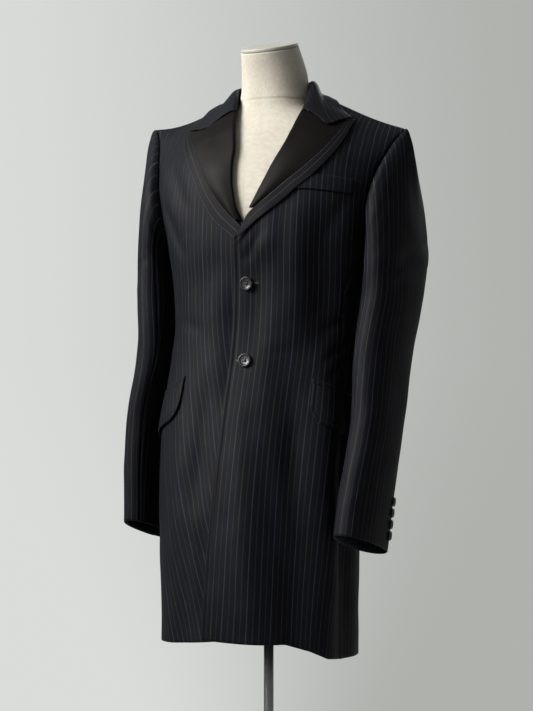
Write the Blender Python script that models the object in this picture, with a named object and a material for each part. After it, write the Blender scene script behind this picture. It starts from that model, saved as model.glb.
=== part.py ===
"""Long single-breasted jacket with peak lapels, worn on a limbless dress form on a round base.

Metres, +Z up. The origin is on the floor under the pole, and the jacket faces -Y.
The wearer's left is +X. side = 1 is the wearer's left and side = -1 the right.
"""

import math

import bpy
import numpy as np

# ---- driving sizes ----
CLOTH = 0.0020
GAP = 0.0003
HALF_GAP = GAP / 2
LAP_LIFT = 0.0036
BREAK_T = 1.206
PIT_T = 1.215
SHOULDER_T = 1.440
BASE_RADIUS = 0.150
BASE_THICK = 0.012
POLE_RADIUS = 0.0078
SOCKET_RADIUS = 0.018
FORM_BOTTOM = 0.745
SHOULDER_TILT = 0.045
SHOULDER_DROP = 0.006
SHOULDER_HALF = 0.220

# One ring round the body at each level: heights at centre front, side and centre back,
# half width, x and y of the middle, depth to the front and back, and squareness.
RING_COLUMNS = "level z_front z_side z_back half_w mid_x mid_y front back square".split()
RINGS = np.array([
    [0.590, 0.590, 0.554, 0.548, 0.1575, 0.001, -0.036, 0.138, 0.136, 2.15],
    [0.650, 0.650, 0.622, 0.618, 0.1585, 0.000, -0.034, 0.137, 0.134, 2.15],
    [0.750, 0.750, 0.735, 0.733, 0.162, -0.004, -0.029, 0.131, 0.130, 2.15],
    [0.850, 0.850, 0.844, 0.843, 0.164, -0.008, -0.023, 0.121, 0.124, 2.15],
    [0.920, 0.920, 0.918, 0.918, 0.163, -0.007, -0.018, 0.112, 0.117, 2.2],
    [0.980, 0.980, 0.980, 0.980, 0.161, -0.004, -0.013, 0.105, 0.109, 2.2],
    [1.030, 1.030, 1.030, 1.030, 0.158, -0.001, -0.009, 0.100, 0.101, 2.2],
    [1.080, 1.080, 1.080, 1.080, 0.156, 0.001, -0.005, 0.099, 0.096, 2.25],
    [1.140, 1.140, 1.140, 1.140, 0.163, 0.003, -0.001, 0.103, 0.096, 2.3],
    [1.215, 1.215, 1.215, 1.215, 0.1745, 0.004, 0.003, 0.111, 0.102, 2.45],
    [1.280, 1.290, 1.270, 1.275, 0.187, 0.004, 0.008, 0.108, 0.104, 2.6],
    [1.340, 1.362, 1.318, 1.335, 0.199, 0.004, 0.012, 0.088, 0.096, 2.6],
    [1.390, 1.413, 1.358, 1.391, 0.2095, 0.004, 0.016, 0.056, 0.078, 2.4],
    [1.420, 1.442, 1.384, 1.426, 0.216, 0.004, 0.019, 0.029, 0.052, 2.2],
    [1.440, 1.461, 1.4015, 1.461, 0.220, 0.004, 0.021, 0.00015, 0.00015, 2.0],
])

# Soft troughs down the skirt: side, distance from the centre front at the hem and where it
# fades out, level where it fades out, depth and half width.
FLUTE_COLUMNS = "side at_hem at_top top depth width".split()
FLUTES = [
    [1, 0.108, 0.040, 0.90, 0.0075, 0.022],
    [1, 0.215, 0.190, 0.98, 0.0080, 0.024],
    [1, 0.330, 0.300, 0.95, 0.0060, 0.026],
    [-1, 0.075, 0.060, 0.86, 0.0045, 0.020],
    [-1, 0.200, 0.185, 0.98, 0.0070, 0.024],
    [-1, 0.320, 0.300, 0.95, 0.0060, 0.026],
]

# Hem height against the distance from the centre front, for each side.
HEM = {
    1: [(-0.06, 0.602), (0.00, 0.600), (0.10, 0.598), (0.14, 0.586), (0.17, 0.573), (0.21, 0.567),
        (0.34, 0.562), (0.50, 0.553)],
    -1: [(-0.06, 0.609), (-0.02, 0.609), (0.01, 0.600), (0.10, 0.588), (0.20, 0.577), (0.34, 0.562),
         (0.50, 0.553)],
}

# Front edges up to the lapel break: level, x of the left front's edge and of the right one's.
FRONT_EDGE = [
    (0.56, -0.031, 0.036), (0.66, -0.029, 0.034), (0.80, -0.024, 0.030), (0.95, -0.018, 0.027),
    (1.05, -0.012, 0.029), (1.14, -0.0095, 0.031), (1.206, -0.0075, 0.031),
]

# Seams from the hem up to the armhole, as distance from the centre front.
SEAM_FRONT = [(0.55, 0.205), (0.75, 0.200), (0.95, 0.182), (1.07, 0.164), (1.15, 0.171), (1.215, 0.212)]
SEAM_BACK = [(0.55, 0.320), (0.75, 0.318), (0.95, 0.298), (1.07, 0.266), (1.15, 0.277), (1.215, 0.304)]

# Armhole: distance from the centre front of its front and back edges at each level.
ARM_FRONT = [
    (1.215, 0.212), (1.232, 0.203), (1.255, 0.199), (1.300, 0.2005), (1.350, 0.2035),
    (1.390, 0.207), (1.420, 0.2125), (1.440, 0.2195),
]
ARM_BACK = [
    (1.215, 0.304), (1.232, 0.316), (1.255, 0.322), (1.300, 0.322), (1.350, 0.307),
    (1.390, 0.277), (1.420, 0.246), (1.440, 0.2205),
]
PIT_DIP = 0.014


def smooth(table, value):
    """Smooth curve through a table of (level, value), flat at both ends."""
    table = np.asarray(table, float)
    xs = table[:, 0]
    ys = table[:, 1:]
    slopes = np.gradient(ys, xs, axis=0)
    value = float(np.clip(value, xs[0], xs[-1]))
    i = int(np.clip(np.searchsorted(xs, value) - 1, 0, len(xs) - 2))
    h = xs[i + 1] - xs[i]
    u = (value - xs[i]) / h
    a = (1 + 2 * u) * (1 - u) ** 2
    b = u * (1 - u) ** 2
    c = u * u * (3 - 2 * u)
    d = u * u * (u - 1)
    got = a * ys[i] + b * h * slopes[i] + c * ys[i + 1] + d * h * slopes[i + 1]
    return float(got[0]) if len(got) == 1 else got


def power(value, n):
    return math.copysign(abs(value) ** (2.0 / n), value)


class Ring:
    """The closed curve round the body at one level, walked by distance from the centre front."""

    def __init__(self, side, level):
        row = dict(zip(RING_COLUMNS[1:], smooth(RINGS, level)))
        self.side = side
        self.level = level
        angles = np.linspace(-0.55, math.pi, 260)
        u = min(max((level - 1.25) / 0.17, 0.0), 1.0)
        slope = 2.0 + 3.0 * u * u * (3 - 2 * u)
        points = []
        for angle in angles:
            c = math.cos(angle)
            depth = row["front"] if c > 0 else row["back"]
            rise = (row["z_front"] if c > 0 else row["z_back"]) - row["z_side"]
            x = row["mid_x"] + side * row["half_w"] * power(math.sin(angle), row["square"])
            y = row["mid_y"] - depth * power(c, row["square"])
            z = row["z_side"] + rise * abs(c) ** slope
            z -= u * (SHOULDER_TILT * x ** 3 / 0.04 + SHOULDER_DROP * (abs(x) / SHOULDER_HALF) ** 6)
            points.append((x, y, z))
        self.points = np.array(points)
        steps = np.linalg.norm(np.diff(self.points[:, :2], axis=0), axis=1)
        walked = np.concatenate([[0], np.cumsum(steps)])
        self.walked = walked - np.interp(0.0, angles, walked)
        self.half = self.walked[-1]

    def at(self, distance):
        return np.array([np.interp(distance, self.walked, self.points[:, k]) for k in range(3)])


_rings = {}


def ring(side, level):
    key = (side, round(level, 5))
    if key not in _rings:
        _rings[key] = Ring(side, level)
    return _rings[key]


def flute(side, distance, level):
    """How far the skirt's troughs push the cloth in at a place."""
    total = 0.0
    for row in FLUTES:
        f = dict(zip(FLUTE_COLUMNS, row))
        if f["side"] != side or level >= f["top"]:
            continue
        down = (f["top"] - level) / (f["top"] - 0.56)
        centre = f["at_top"] + (f["at_hem"] - f["at_top"]) * down
        width = f["width"] * (0.7 + 0.5 * down)
        grown = math.sin(min(down, 1.0) * math.pi / 2) ** 1.5
        total += f["depth"] * grown * math.exp(-(((distance - centre) / width) ** 2))
    return total


def bare(side, distance, level):
    return ring(side, level).at(distance)


def body(side, distance, level, out=0.0):
    """A point of the jacket's outer face, moved out of it by out."""
    level = min(max(level, RINGS[0, 0]), SHOULDER_T)
    here = bare(side, distance, level)
    e = 0.004
    along = bare(side, distance + e, level) - bare(side, distance - e, level)
    up = bare(side, distance, min(level + e, SHOULDER_T)) - bare(side, distance, level - e)
    normal = np.cross(along, up) * side
    normal /= max(np.linalg.norm(normal), 1e-9)
    ridge = min(max((level - 1.422) / (SHOULDER_T - 1.422), 0.0), 1.0)
    normal = normal * (1 - ridge) + np.array([0.0, 0.0, 1.0]) * ridge
    normal /= np.linalg.norm(normal)
    return here + normal * (out - flute(side, distance, level))


def lap(side, distance, level):
    """The left front lies over the right one: how far it is lifted near its edge."""
    if side < 0 or level > 1.30:
        return 0.0
    u = np.clip((0.078 - distance) / 0.036, 0, 1)
    fade = np.clip((1.30 - level) / 0.06, 0, 1)
    lift = LAP_LIFT + 0.0048 * math.exp(-(((level - 1.212) / 0.034) ** 2))
    return lift * u * u * (3 - 2 * u) * fade


# ---- meshes ----
def material(name, colour, rough=0.8, metal=0.0):
    made = bpy.data.materials.new(name)
    made.use_nodes = True
    shader = made.node_tree.nodes["Principled BSDF"]
    shader.inputs["Base Color"].default_value = (*colour, 1.0)
    shader.inputs["Roughness"].default_value = rough
    shader.inputs["Metallic"].default_value = metal
    return made


def add_object(name, points, faces, surface):
    mesh = bpy.data.meshes.new(name)
    mesh.from_pydata([tuple(map(float, p)) for p in points], [], faces)
    mesh.update()
    mesh.materials.append(surface)
    obj = bpy.data.objects.new(name, mesh)
    bpy.context.scene.collection.objects.link(obj)
    return obj


def grid_normals(grid):
    """Unit normals of a grid of points, by the cross of its two directions."""
    down = np.gradient(grid, axis=0)
    across = np.gradient(grid, axis=1)
    normal = np.cross(across, down)
    length = np.linalg.norm(normal, axis=2, keepdims=True)
    return normal / np.maximum(length, 1e-9)


def wall(name, grid, thick, surface, flip=False, inner=None):
    """One closed wall of cloth from a grid: the outer face, the inner face and the rim."""
    grid = np.asarray(grid, float)
    rows, cols = grid.shape[:2]
    if inner is None:
        normal = grid_normals(grid) * (-1 if flip else 1)
        inner = grid - normal * thick
    points = np.concatenate([grid.reshape(-1, 3), np.asarray(inner).reshape(-1, 3)])
    size = rows * cols
    faces = []
    for i in range(rows - 1):
        for j in range(cols - 1):
            a, b, c, d = i * cols + j, i * cols + j + 1, (i + 1) * cols + j + 1, (i + 1) * cols + j
            faces.append((a, b, c, d))
            faces.append((a + size, d + size, c + size, b + size))
    edge = [j for j in range(cols)]
    edge += [i * cols + cols - 1 for i in range(1, rows)]
    edge += [(rows - 1) * cols + j for j in range(cols - 2, -1, -1)]
    edge += [i * cols for i in range(rows - 2, 0, -1)]
    for k, a in enumerate(edge):
        b = edge[(k + 1) % len(edge)]
        faces.append((b, a, a + size, b + size))
    if flip:
        faces = [tuple(reversed(f)) for f in faces]
    return add_object(name, points, faces, surface)


def lathe(name, rings, surface):
    """A closed solid from rings of equal count, capped with a fan at both ends."""
    rings = [np.asarray(r, float) for r in rings]
    count = len(rings[0])
    points = np.concatenate(rings + [rings[0].mean(0)[None], rings[-1].mean(0)[None]])
    low = len(points) - 2
    faces = []
    for i in range(len(rings) - 1):
        for j in range(count):
            k = (j + 1) % count
            faces.append((i * count + j, i * count + k, (i + 1) * count + k, (i + 1) * count + j))
    last = (len(rings) - 1) * count
    for j in range(count):
        k = (j + 1) % count
        faces.append((low, k, j))
        faces.append((low + 1, last + j, last + k))
    return add_object(name, points, faces, surface)


def circle(centre, radius, count, axis=(0, 0, 1), turn=0.0):
    axis = np.array(axis, float) / np.linalg.norm(axis)
    first = np.cross((0, 1, 0) if abs(axis[1]) < 0.9 else (1, 0, 0), axis)
    first /= np.linalg.norm(first)
    second = np.cross(axis, first)
    angles = turn + np.arange(count) * 2 * math.pi / count
    return np.array([centre + radius * (math.cos(a) * first + math.sin(a) * second) for a in angles])


def clear_scene():
    for obj in list(bpy.data.objects):
        bpy.data.objects.remove(obj, do_unlink=True)


clear_scene()
WOOL = material("pinstripe_wool", (0.020, 0.021, 0.030), 0.85)
SATIN = material("satin_facing", (0.030, 0.027, 0.024), 0.40)
HORN = material("dark_button", (0.045, 0.045, 0.048), 0.30)
LINEN = material("linen_cover", (0.72, 0.69, 0.62), 0.90)
CAP = material("neck_cap_paint", (0.74, 0.72, 0.66), 0.60)
STEEL = material("brushed_pole", (0.30, 0.31, 0.33), 0.35, 1.0)


# ---- places on the chest ----
def place(x, z, out=0.0, side=None):
    """The point of the jacket's front at this x and z, moved out of the cloth by out."""
    side = side or (1 if x >= 0 else -1)
    distance = side * x
    level = z
    for _ in range(14):
        here = body(side, distance, level, out)
        distance += side * (x - here[0])
        level = min(level + 0.9 * (z - here[2]), SHOULDER_T)
    return side, distance, level


def on_front(x, z, out=0.0, side=None):
    side, distance, level = place(x, z, out, side)
    return body(side, distance, level, out)


# ---- body panels ----
# Inner edge of each front above the break, along the lapel's roll: level, x on the left and
# x on the right.
NECK_EDGE = [
    (1.206, -0.0075, 0.031), (1.225, 0.008, 0.012), (1.250, 0.024, -0.005), (1.280, 0.035, -0.019),
    (1.320, 0.054, -0.027), (1.360, 0.071, -0.031), (1.400, 0.081, -0.045), (1.425, 0.083, -0.061),
    (1.440, 0.084, -0.073),
]


def hem_level(side, distance, level):
    """Stretches the lowest rows so that the first one, at 0.60, lands on the hem's height."""
    if level >= 0.76:
        return level
    bottom = float(np.interp(distance, *np.array(HEM[side]).T))
    return level + (bottom - ring(side, 0.60).at(distance)[2]) * (0.76 - level) / 0.16


def inner_distance(side, level):
    table = np.array(NECK_EDGE if level > BREAK_T else FRONT_EDGE)
    x = float(np.interp(level, table[:, 0], table[:, 1 if side > 0 else 2]))
    row = dict(zip(RING_COLUMNS[1:], smooth(RINGS, level)))
    guess = side * (x - row["mid_x"])
    for _ in range(6):
        guess += side * (x - bare(side, guess, level)[0])
    return guess


def panel(name, side, levels, columns, first, last, lift=None, dip=None):
    """A body panel: rows from the hem up, each from one edge to the other."""
    grid = []
    inner = []
    for level in levels:
        a = first(level)
        b = last(level)
        row = []
        under = []
        for v in np.linspace(0, 1, columns):
            distance = a + (b - a) * v
            height = hem_level(side, distance, level)
            if dip:
                height -= dip(level, v)
            out = lift(side, distance, height) if lift else 0.0
            row.append(body(side, distance, height, out))
            under.append(body(side, distance, height, out - CLOTH))
        grid.append(row)
        inner.append(under)
    return wall(name, grid, CLOTH, WOOL, flip=side < 0, inner=inner)


HEM_TO_PIT = list(np.linspace(0.60, PIT_T, 14))
PIT_TO_SHOULDER = list(np.linspace(PIT_T, SHOULDER_T, 10)[1:-1]) + [1.428, SHOULDER_T]


def armed(seam, arm, level):
    return smooth(seam, level) if level <= PIT_T else smooth(arm, level)


# How far the back's neckline lies from the centre back at each level.
BACK_NECK = [(1.4155, 0.0), (1.428, 0.050), (1.440, 0.078)]


def body_panels(side):
    hand = "left" if side > 0 else "right"
    half = HALF_GAP
    panel("front_" + hand, side, HEM_TO_PIT + PIT_TO_SHOULDER, 12,
          lambda t: inner_distance(side, t), lambda t: armed(SEAM_FRONT, ARM_FRONT, t) - half, lift=lap)
    panel("side_" + hand, side, HEM_TO_PIT, 6,
          lambda t: smooth(SEAM_FRONT, t) + half, lambda t: smooth(SEAM_BACK, t) - half,
          dip=lambda t, v: PIT_DIP * math.sin(v * math.pi) * max(0.0, (t - 1.12) / (PIT_T - 1.12)))

    def to_centre(level):
        neck = float(np.interp(level, *np.array(BACK_NECK).T))
        return ring(side, level).half - half - neck

    panel("back_" + hand, side, HEM_TO_PIT + PIT_TO_SHOULDER, 9,
          lambda t: armed(SEAM_BACK, ARM_BACK, t) + half, to_centre)


for side in (1, -1):
    body_panels(side)


# ---- sleeves ----
# Each sleeve's rings: height, x and y of the middle, half width, half depth, turn of the front
# towards the body in degrees.
SLEEVE = {
    1: np.array([
        [0.745, 0.1885, -0.078, 0.030, 0.060, 8.0],
        [0.830, 0.1920, -0.056, 0.031, 0.062, 8.0],
        [0.920, 0.1970, -0.030, 0.031, 0.063, 6.0],
        [1.056, 0.1985, 0.003, 0.035, 0.073, 6.0],
        [1.120, 0.2050, 0.018, 0.035, 0.080, 5.0],
        [1.165, 0.2080, 0.024, 0.034, 0.086, 5.0],
    ]),
    -1: np.array([
        [0.745, 0.2070, -0.022, 0.030, 0.060, 0.0],
        [0.830, 0.2100, -0.014, 0.0305, 0.064, 1.0],
        [0.920, 0.2085, -0.006, 0.0305, 0.068, 1.0],
        [1.056, 0.1925, 0.006, 0.034, 0.075, 6.0],
        [1.120, 0.1970, 0.018, 0.035, 0.080, 5.0],
        [1.165, 0.2005, 0.024, 0.033, 0.080, 4.0],
    ]),
}
SLEEVE_GIRTH = 0.36
# How far the sleeve head stands forward and back, and how strongly it leaves the armhole.
HEAD_FULLNESS = 0.08
HEAD_BASE = {1: 0.030, -1: 0.050}
HEAD_REACH = {1: 0.010, -1: 0.020}
CUFF_SLANT = 0.33
CUFF_LEVEL = 0.745
SLANT_FROM = 0.90
SLEEVE_SQUARE = 2.25
ROPE = 0.0010
BACK_ROPE = 0.0036
SLEEVE_TOP = 1.165
SLEEVE_FRONT_SEAM = 115.0
SLEEVE_BACK_SEAM = -55.0


def armhole(side, turn):
    """A point of the armhole seam: turn 0 is the shoulder, 90 the front, 180 the armpit."""
    turn = turn % 360.0
    if turn <= 150.0 or turn >= 210.0:
        away = min(turn, 360.0 - turn) / 150.0
        level = PIT_T + (SHOULDER_T - PIT_T) * (0.5 + 0.5 * math.cos(math.pi * away))
        distance = smooth(ARM_FRONT if turn <= 150.0 else ARM_BACK, level)
        return body(side, distance, level)
    v = (turn - 150.0) / 60.0
    first = smooth(ARM_FRONT, PIT_T)
    last = smooth(ARM_BACK, PIT_T)
    return body(side, first + (last - first) * v, PIT_T - PIT_DIP * math.sin(v * math.pi))


def sleeve_ring(side, height, turn):
    z, mid_x, mid_y, half_w, half_d, twist = height, *smooth(SLEEVE[side], height)
    angle = math.radians(turn)
    out = half_w * power(math.cos(angle), SLEEVE_SQUARE)
    fore = half_d * power(math.sin(angle), SLEEVE_SQUARE)
    c = math.cos(math.radians(twist))
    s = math.sin(math.radians(twist))
    x = out * c - fore * s
    y = -fore * c - out * s
    slant = CUFF_SLANT * max(0.0, (SLANT_FROM - z) / (SLANT_FROM - CUFF_LEVEL)) ** 1.5
    return np.array([side * (mid_x + x), mid_y + y, z - slant * y])


def sleeve(side, turn, down):
    """A point of the sleeve: down from 0 at the armhole to 1 at the top ring to 2 at the cuff."""
    if down >= 1.0:
        return sleeve_ring(side, SLEEVE_TOP + (CUFF_LEVEL - SLEEVE_TOP) * (down - 1.0), turn)
    behind = math.sin(math.radians(turn)) < 0
    roll = ROPE + BACK_ROPE * behind * max(0.0, math.cos(math.radians(turn)))
    start = armhole(side, turn) + (side * roll, 0, 0)
    end = sleeve_ring(side, SLEEVE_TOP, turn)
    top = 0.5 + 0.5 * math.cos(math.radians(turn))
    reach = np.linalg.norm(end - start)
    pull = (HEAD_BASE[side] + HEAD_REACH[side] * top) * (0.35 + reach / 0.30)
    leave = np.array([side * pull, 0.0, 0.08 * top * pull])
    leave[1] = -HEAD_FULLNESS * math.sin(math.radians(turn)) * min(1.0, 2 * top)
    onward = sleeve_ring(side, SLEEVE_TOP - 0.01, turn) - end
    arrive = onward / np.linalg.norm(onward) * reach * (0.8 + 0.5 * top)
    u = GAP / 0.06 + down * (1 - GAP / 0.06)
    a = (1 + 2 * u) * (1 - u) ** 2
    b = u * (1 - u) ** 2
    c = u * u * (3 - 2 * u)
    d = u * u * (u - 1)
    return a * start + b * leave + c * end + d * arrive


SLEEVE_DOWN = list(np.linspace(0, 1, 8)) + list(np.linspace(1, 2, 11)[1:])


def sleeve_face(side, turn, down, out):
    """A point of the sleeve moved out of its cloth."""
    here = sleeve(side, turn, down)
    e = 0.02
    around = sleeve(side, turn + 3, down) - sleeve(side, turn - 3, down)
    along = sleeve(side, turn, min(down + e, 2.0)) - sleeve(side, turn, max(down - e, 0.0))
    normal = np.cross(around, along) * side
    return here + normal / np.linalg.norm(normal) * out


def sleeve_panel(name, side, first, last, columns):
    pad = HALF_GAP / SLEEVE_GIRTH * 360.0
    turns = np.linspace(first + pad, last - pad, columns)
    grid = [[sleeve(side, t, down) for t in turns] for down in SLEEVE_DOWN]
    inner = [[sleeve_face(side, t, down, -CLOTH) for t in turns] for down in SLEEVE_DOWN]
    return wall(name, grid, CLOTH, WOOL, flip=side < 0, inner=inner)


for side in (1, -1):
    hand = "left" if side > 0 else "right"
    sleeve_panel("sleeve_top_" + hand, side, SLEEVE_BACK_SEAM, SLEEVE_FRONT_SEAM, 13)
    sleeve_panel("sleeve_under_" + hand, side, SLEEVE_FRONT_SEAM, SLEEVE_BACK_SEAM + 360.0, 12)

# ---- lapels ----
# Stations from the break up to the gorge, x and z of the roll line, of the line where the satin
# ends, and of the outer edge; lift is how far the roll stands off the chest.
LAPEL_COLUMNS = "roll_x roll_z line_x line_z edge_x edge_z lift".split()
LAPEL = {
    1: [
        [0.0000, 1.2120, 0.0005, 1.2110, -0.0045, 1.2045, 0.0060],
        [0.0093, 1.2280, 0.0098, 1.2275, 0.0133, 1.2196, 0.0065],
        [0.0190, 1.2500, 0.0201, 1.2490, 0.0346, 1.2387, 0.0070],
        [0.0310, 1.2773, 0.0520, 1.2763, 0.0666, 1.2645, 0.0072],
        [0.0418, 1.3010, 0.0775, 1.2987, 0.0921, 1.2876, 0.0076],
        [0.0545, 1.3285, 0.0985, 1.3171, 0.1130, 1.3066, 0.0078],
        [0.0652, 1.3520, 0.1195, 1.3403, 0.1326, 1.3323, 0.0078],
        [0.0718, 1.3790, 0.1333, 1.3674, 0.1444, 1.3613, 0.0080],
        [0.0760, 1.4095, 0.1392, 1.3925, 0.1487, 1.3948, 0.0090],
    ],
    -1: [
        [0.0220, 1.2080, 0.0215, 1.2075, 0.0150, 1.1950, 0.0030],
        [0.0068, 1.2260, 0.0063, 1.2255, -0.0018, 1.2074, 0.0045],
        [0.0020, 1.2356, -0.0015, 1.2338, -0.0143, 1.2181, 0.0060],
        [-0.0055, 1.2510, -0.0202, 1.2507, -0.0393, 1.2374, 0.0068],
        [-0.0120, 1.2739, -0.0389, 1.2713, -0.0579, 1.2607, 0.0072],
        [-0.0177, 1.2970, -0.0555, 1.2936, -0.0723, 1.2841, 0.0074],
        [-0.0205, 1.3265, -0.0723, 1.3223, -0.0910, 1.3152, 0.0074],
        [-0.0225, 1.3570, -0.0940, 1.3535, -0.1135, 1.3490, 0.0076],
        [-0.0405, 1.4135, -0.1275, 1.3855, -0.1400, 1.3888, 0.0090],
    ],
}
GORGE_KINK = {1: (0.1195, 1.3840), -1: (-0.0925, 1.3878)}
GORGE_AT = 0.62
EDGE_LIFT = 0.0052


def lapel_point(side, up, across, deeper=0.0):
    """A point of the lapel: up from the break, across 0 roll, 1 satin line, 2 outer edge."""
    rows = np.array(LAPEL[side])
    row = dict(zip(LAPEL_COLUMNS, smooth(np.column_stack([np.linspace(0, 1, len(rows)), rows]), up)))
    if across <= 1.0:
        a = np.array([row["roll_x"], row["roll_z"]])
        b = np.array([row["line_x"], row["line_z"]])
        at = a + (b - a) * across
        kink = np.array(GORGE_KINK[side]) - (a + (b - a) * GORGE_AT)
        share = across / GORGE_AT if across < GORGE_AT else (1 - across) / (1 - GORGE_AT)
        at = at + kink * share * max(0.0, (up - 0.80) / 0.20) ** 2
        out = EDGE_LIFT + (row["lift"] - EDGE_LIFT) * (1 - across) ** 1.5
        out += 0.0030 * math.sin(across * math.pi) * math.sin(up * math.pi)
    else:
        a = np.array([row["line_x"], row["line_z"]])
        b = np.array([row["edge_x"], row["edge_z"]])
        at = a + (b - a) * (across - 1.0)
        out = EDGE_LIFT
    if side > 0:
        out += lap(side, at[0], at[1])
    else:
        out -= 0.0014 * max(0.0, 1 - up / 0.22)
    side, distance, level = place(at[0], at[1], out, side)
    return body(side, distance, level, out - deeper)


SATIN_UP = np.linspace(0.28, 1, 12)
SATIN_ACROSS = (0, 0.2, 0.42, GORGE_AT, 0.82, 1.0)


def lapel(side):
    hand = "left" if side > 0 else "right"
    satin = {0.0: [], CLOTH: []}
    border = {0.0: [], CLOTH: []}
    for deeper in (0.0, CLOTH):
        for up in SATIN_UP:
            width = np.linalg.norm(lapel_point(side, up, 1.0) - lapel_point(side, up, 0.0))
            shy = GAP / max(width, 0.003)
            satin[deeper].append([lapel_point(side, up, v * (1 - shy), deeper) for v in SATIN_ACROSS])
        for up in np.linspace(0, 1, 16):
            border[deeper].append([lapel_point(side, up, v, deeper) for v in (1.0, 1.5, 2.0)])
    wall("lapel_satin_" + hand, satin[0.0], CLOTH, SATIN, flip=side < 0, inner=satin[CLOTH])
    wall("lapel_border_" + hand, border[0.0], CLOTH, WOOL, flip=side < 0, inner=border[CLOTH])


for side in (1, -1):
    lapel(side)

# ---- collar ----
# Stations from the left gorge round the back of the neck to the right one: the foot of the stand,
# the fold, a place on the leaf and the leaf's edge.
COLLAR_COLUMNS = "foot fold leaf edge".split()
COLLAR = [
    [(0.0750, -0.034, 1.4135), (0.0782, -0.0425, 1.4150), (0.1218, -0.044, 1.3892), (0.1475, -0.010, 1.4020)],
    [(0.0720, -0.013, 1.424), (0.0748, -0.016, 1.4385), (0.105, -0.017, 1.4215), (0.132, -0.001, 1.4125)],
    [(0.0665, 0.014, 1.44), (0.0685, 0.015, 1.4655), (0.086, 0.015, 1.446), (0.107, 0.02, 1.436)],
    [(0.054, 0.043, 1.44), (0.0555, 0.046, 1.4715), (0.068, 0.0585, 1.448), (0.08, 0.072, 1.421)],
    [(0.03, 0.0655, 1.435), (0.031, 0.069, 1.4745), (0.037, 0.0815, 1.448), (0.044, 0.089, 1.4085)],
    [(0.003, 0.0725, 1.433), (0.003, 0.076, 1.4755), (0.003, 0.0885, 1.4485), (0.003, 0.0955, 1.405)],
    [(-0.025, 0.0655, 1.435), (-0.026, 0.069, 1.4745), (-0.032, 0.0815, 1.448), (-0.039, 0.089, 1.4085)],
    [(-0.05, 0.043, 1.44), (-0.051, 0.046, 1.4710), (-0.063, 0.059, 1.449), (-0.076, 0.072, 1.423)],
    [(-0.0595, 0.014, 1.440), (-0.0615, 0.015, 1.4630), (-0.080, 0.015, 1.4450), (-0.103, 0.02, 1.4365)],
    [(-0.0445, -0.0175, 1.430), (-0.0465, -0.0215, 1.4425), (-0.081, -0.022, 1.4260), (-0.118, -0.004, 1.4175)],
    [(-0.0365, -0.040, 1.4165), (-0.0385, -0.045, 1.4195), (-0.0935, -0.045, 1.3930), (-0.1325, -0.0205, 1.3960)],
]


def collar():
    table = np.array(COLLAR)
    count = len(table)
    grid = []
    for at in np.linspace(0, count - 1, 33):
        spread = np.arange(count)
        foot, fold, leaf, edge = [smooth(np.column_stack([spread, table[:, k]]), at) for k in range(4)]
        away = (leaf - fold) / np.linalg.norm(leaf - fold)
        above = np.array([0.0, 0.0, 1.0]) - away[2] * away
        above /= np.linalg.norm(above)
        row = [edge, leaf * 0.5 + edge * 0.5 + (0, 0, 0.0008), leaf]
        row += [fold * 0.45 + leaf * 0.55 + above * 0.0026, fold + away * 0.0085 + above * 0.0036]
        row += [fold + away * 0.0032 + above * 0.0027, fold, foot]
        grid.append(row)
    return grid


wall("collar", collar(), CLOTH, WOOL, flip=True)

# ---- pockets ----
FLAP_LONG = 0.142
FLAP_DEEP = 0.054
FLAP_ROUND = 0.022
FLAP_FALL = {1: 0.36, -1: 0.40}
FLAP_START = {1: (0.1142, 0.9880), -1: (-0.0993, 0.9910)}


def flap_place(side, along, down, out):
    """A point of the slanted pocket: along its mouth from the front end, and down from it."""
    x, z = FLAP_START[side]
    _, distance, level = place(x, z, 0.0, side)
    return body(side, distance + along, level - FLAP_FALL[side] * along - down, out)


def flap(side):
    hand = "left" if side > 0 else "right"
    grid = []
    for down in np.linspace(0, 1, 6):
        row = []
        for along in np.linspace(0, 1, 11):
            a = along * FLAP_LONG
            depth = FLAP_DEEP
            if a < FLAP_ROUND:
                depth -= FLAP_ROUND - math.sqrt(FLAP_ROUND ** 2 - (FLAP_ROUND - a) ** 2)
            stand = 0.0028 + 0.0022 * down
            row.append(flap_place(side, a, 0.0005 + (depth - 0.0005) * down, stand))
        grid.append(row)
    wall("flap_" + hand, grid, 0.0018, WOOL, flip=side > 0)
    jet = []
    for down in (-0.0003, -0.0062):
        jet.append([flap_place(side, a, down, 0.0026) for a in np.linspace(-0.0006, FLAP_LONG + 0.0006, 11)])
    wall("jet_" + hand, jet, 0.0018, WOOL, flip=side < 0)


for side in (1, -1):
    flap(side)

WELT = [(0.086, 1.2845), (0.112, 1.2835), (0.140, 1.2800), (0.168, 1.2760)]
WELT_TALL = 0.022
welt = []
for up in (0.0, 0.5, 1.0):
    row = []
    for x in np.linspace(0.088, 0.168, 7):
        z = float(np.interp(x, *np.array(WELT).T))
        row.append(on_front(x + 0.001 * up, z + WELT_TALL * up, 0.0026, 1))
    welt.append(row)
wall("welt_pocket", welt, 0.0016, WOOL)


# ---- buttons ----
# Turned outlines, as shares of the radius and of the thickness.
BUTTON_PROFILE = [
    (0.55, 0.0), (0.90, 0.0), (1.0, 0.22), (1.0, 0.60), (0.93, 0.95), (0.84, 1.0), (0.74, 0.78),
    (0.66, 0.60),
]
CUFF_PROFILE = [(0.70, 0.0), (1.0, 0.20), (1.0, 0.70), (0.86, 1.0), (0.70, 0.66)]


def button(name, centre, normal, radius, thick, profile=BUTTON_PROFILE, count=24):
    rings = [circle(centre + normal * thick * h, radius * r, count, normal) for r, h in profile]
    return lathe(name, rings, HORN)


def surface_normal(side, distance, level):
    base = body(side, distance, level, 0.0)
    return (body(side, distance, level, 0.01) - base) / 0.01


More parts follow.
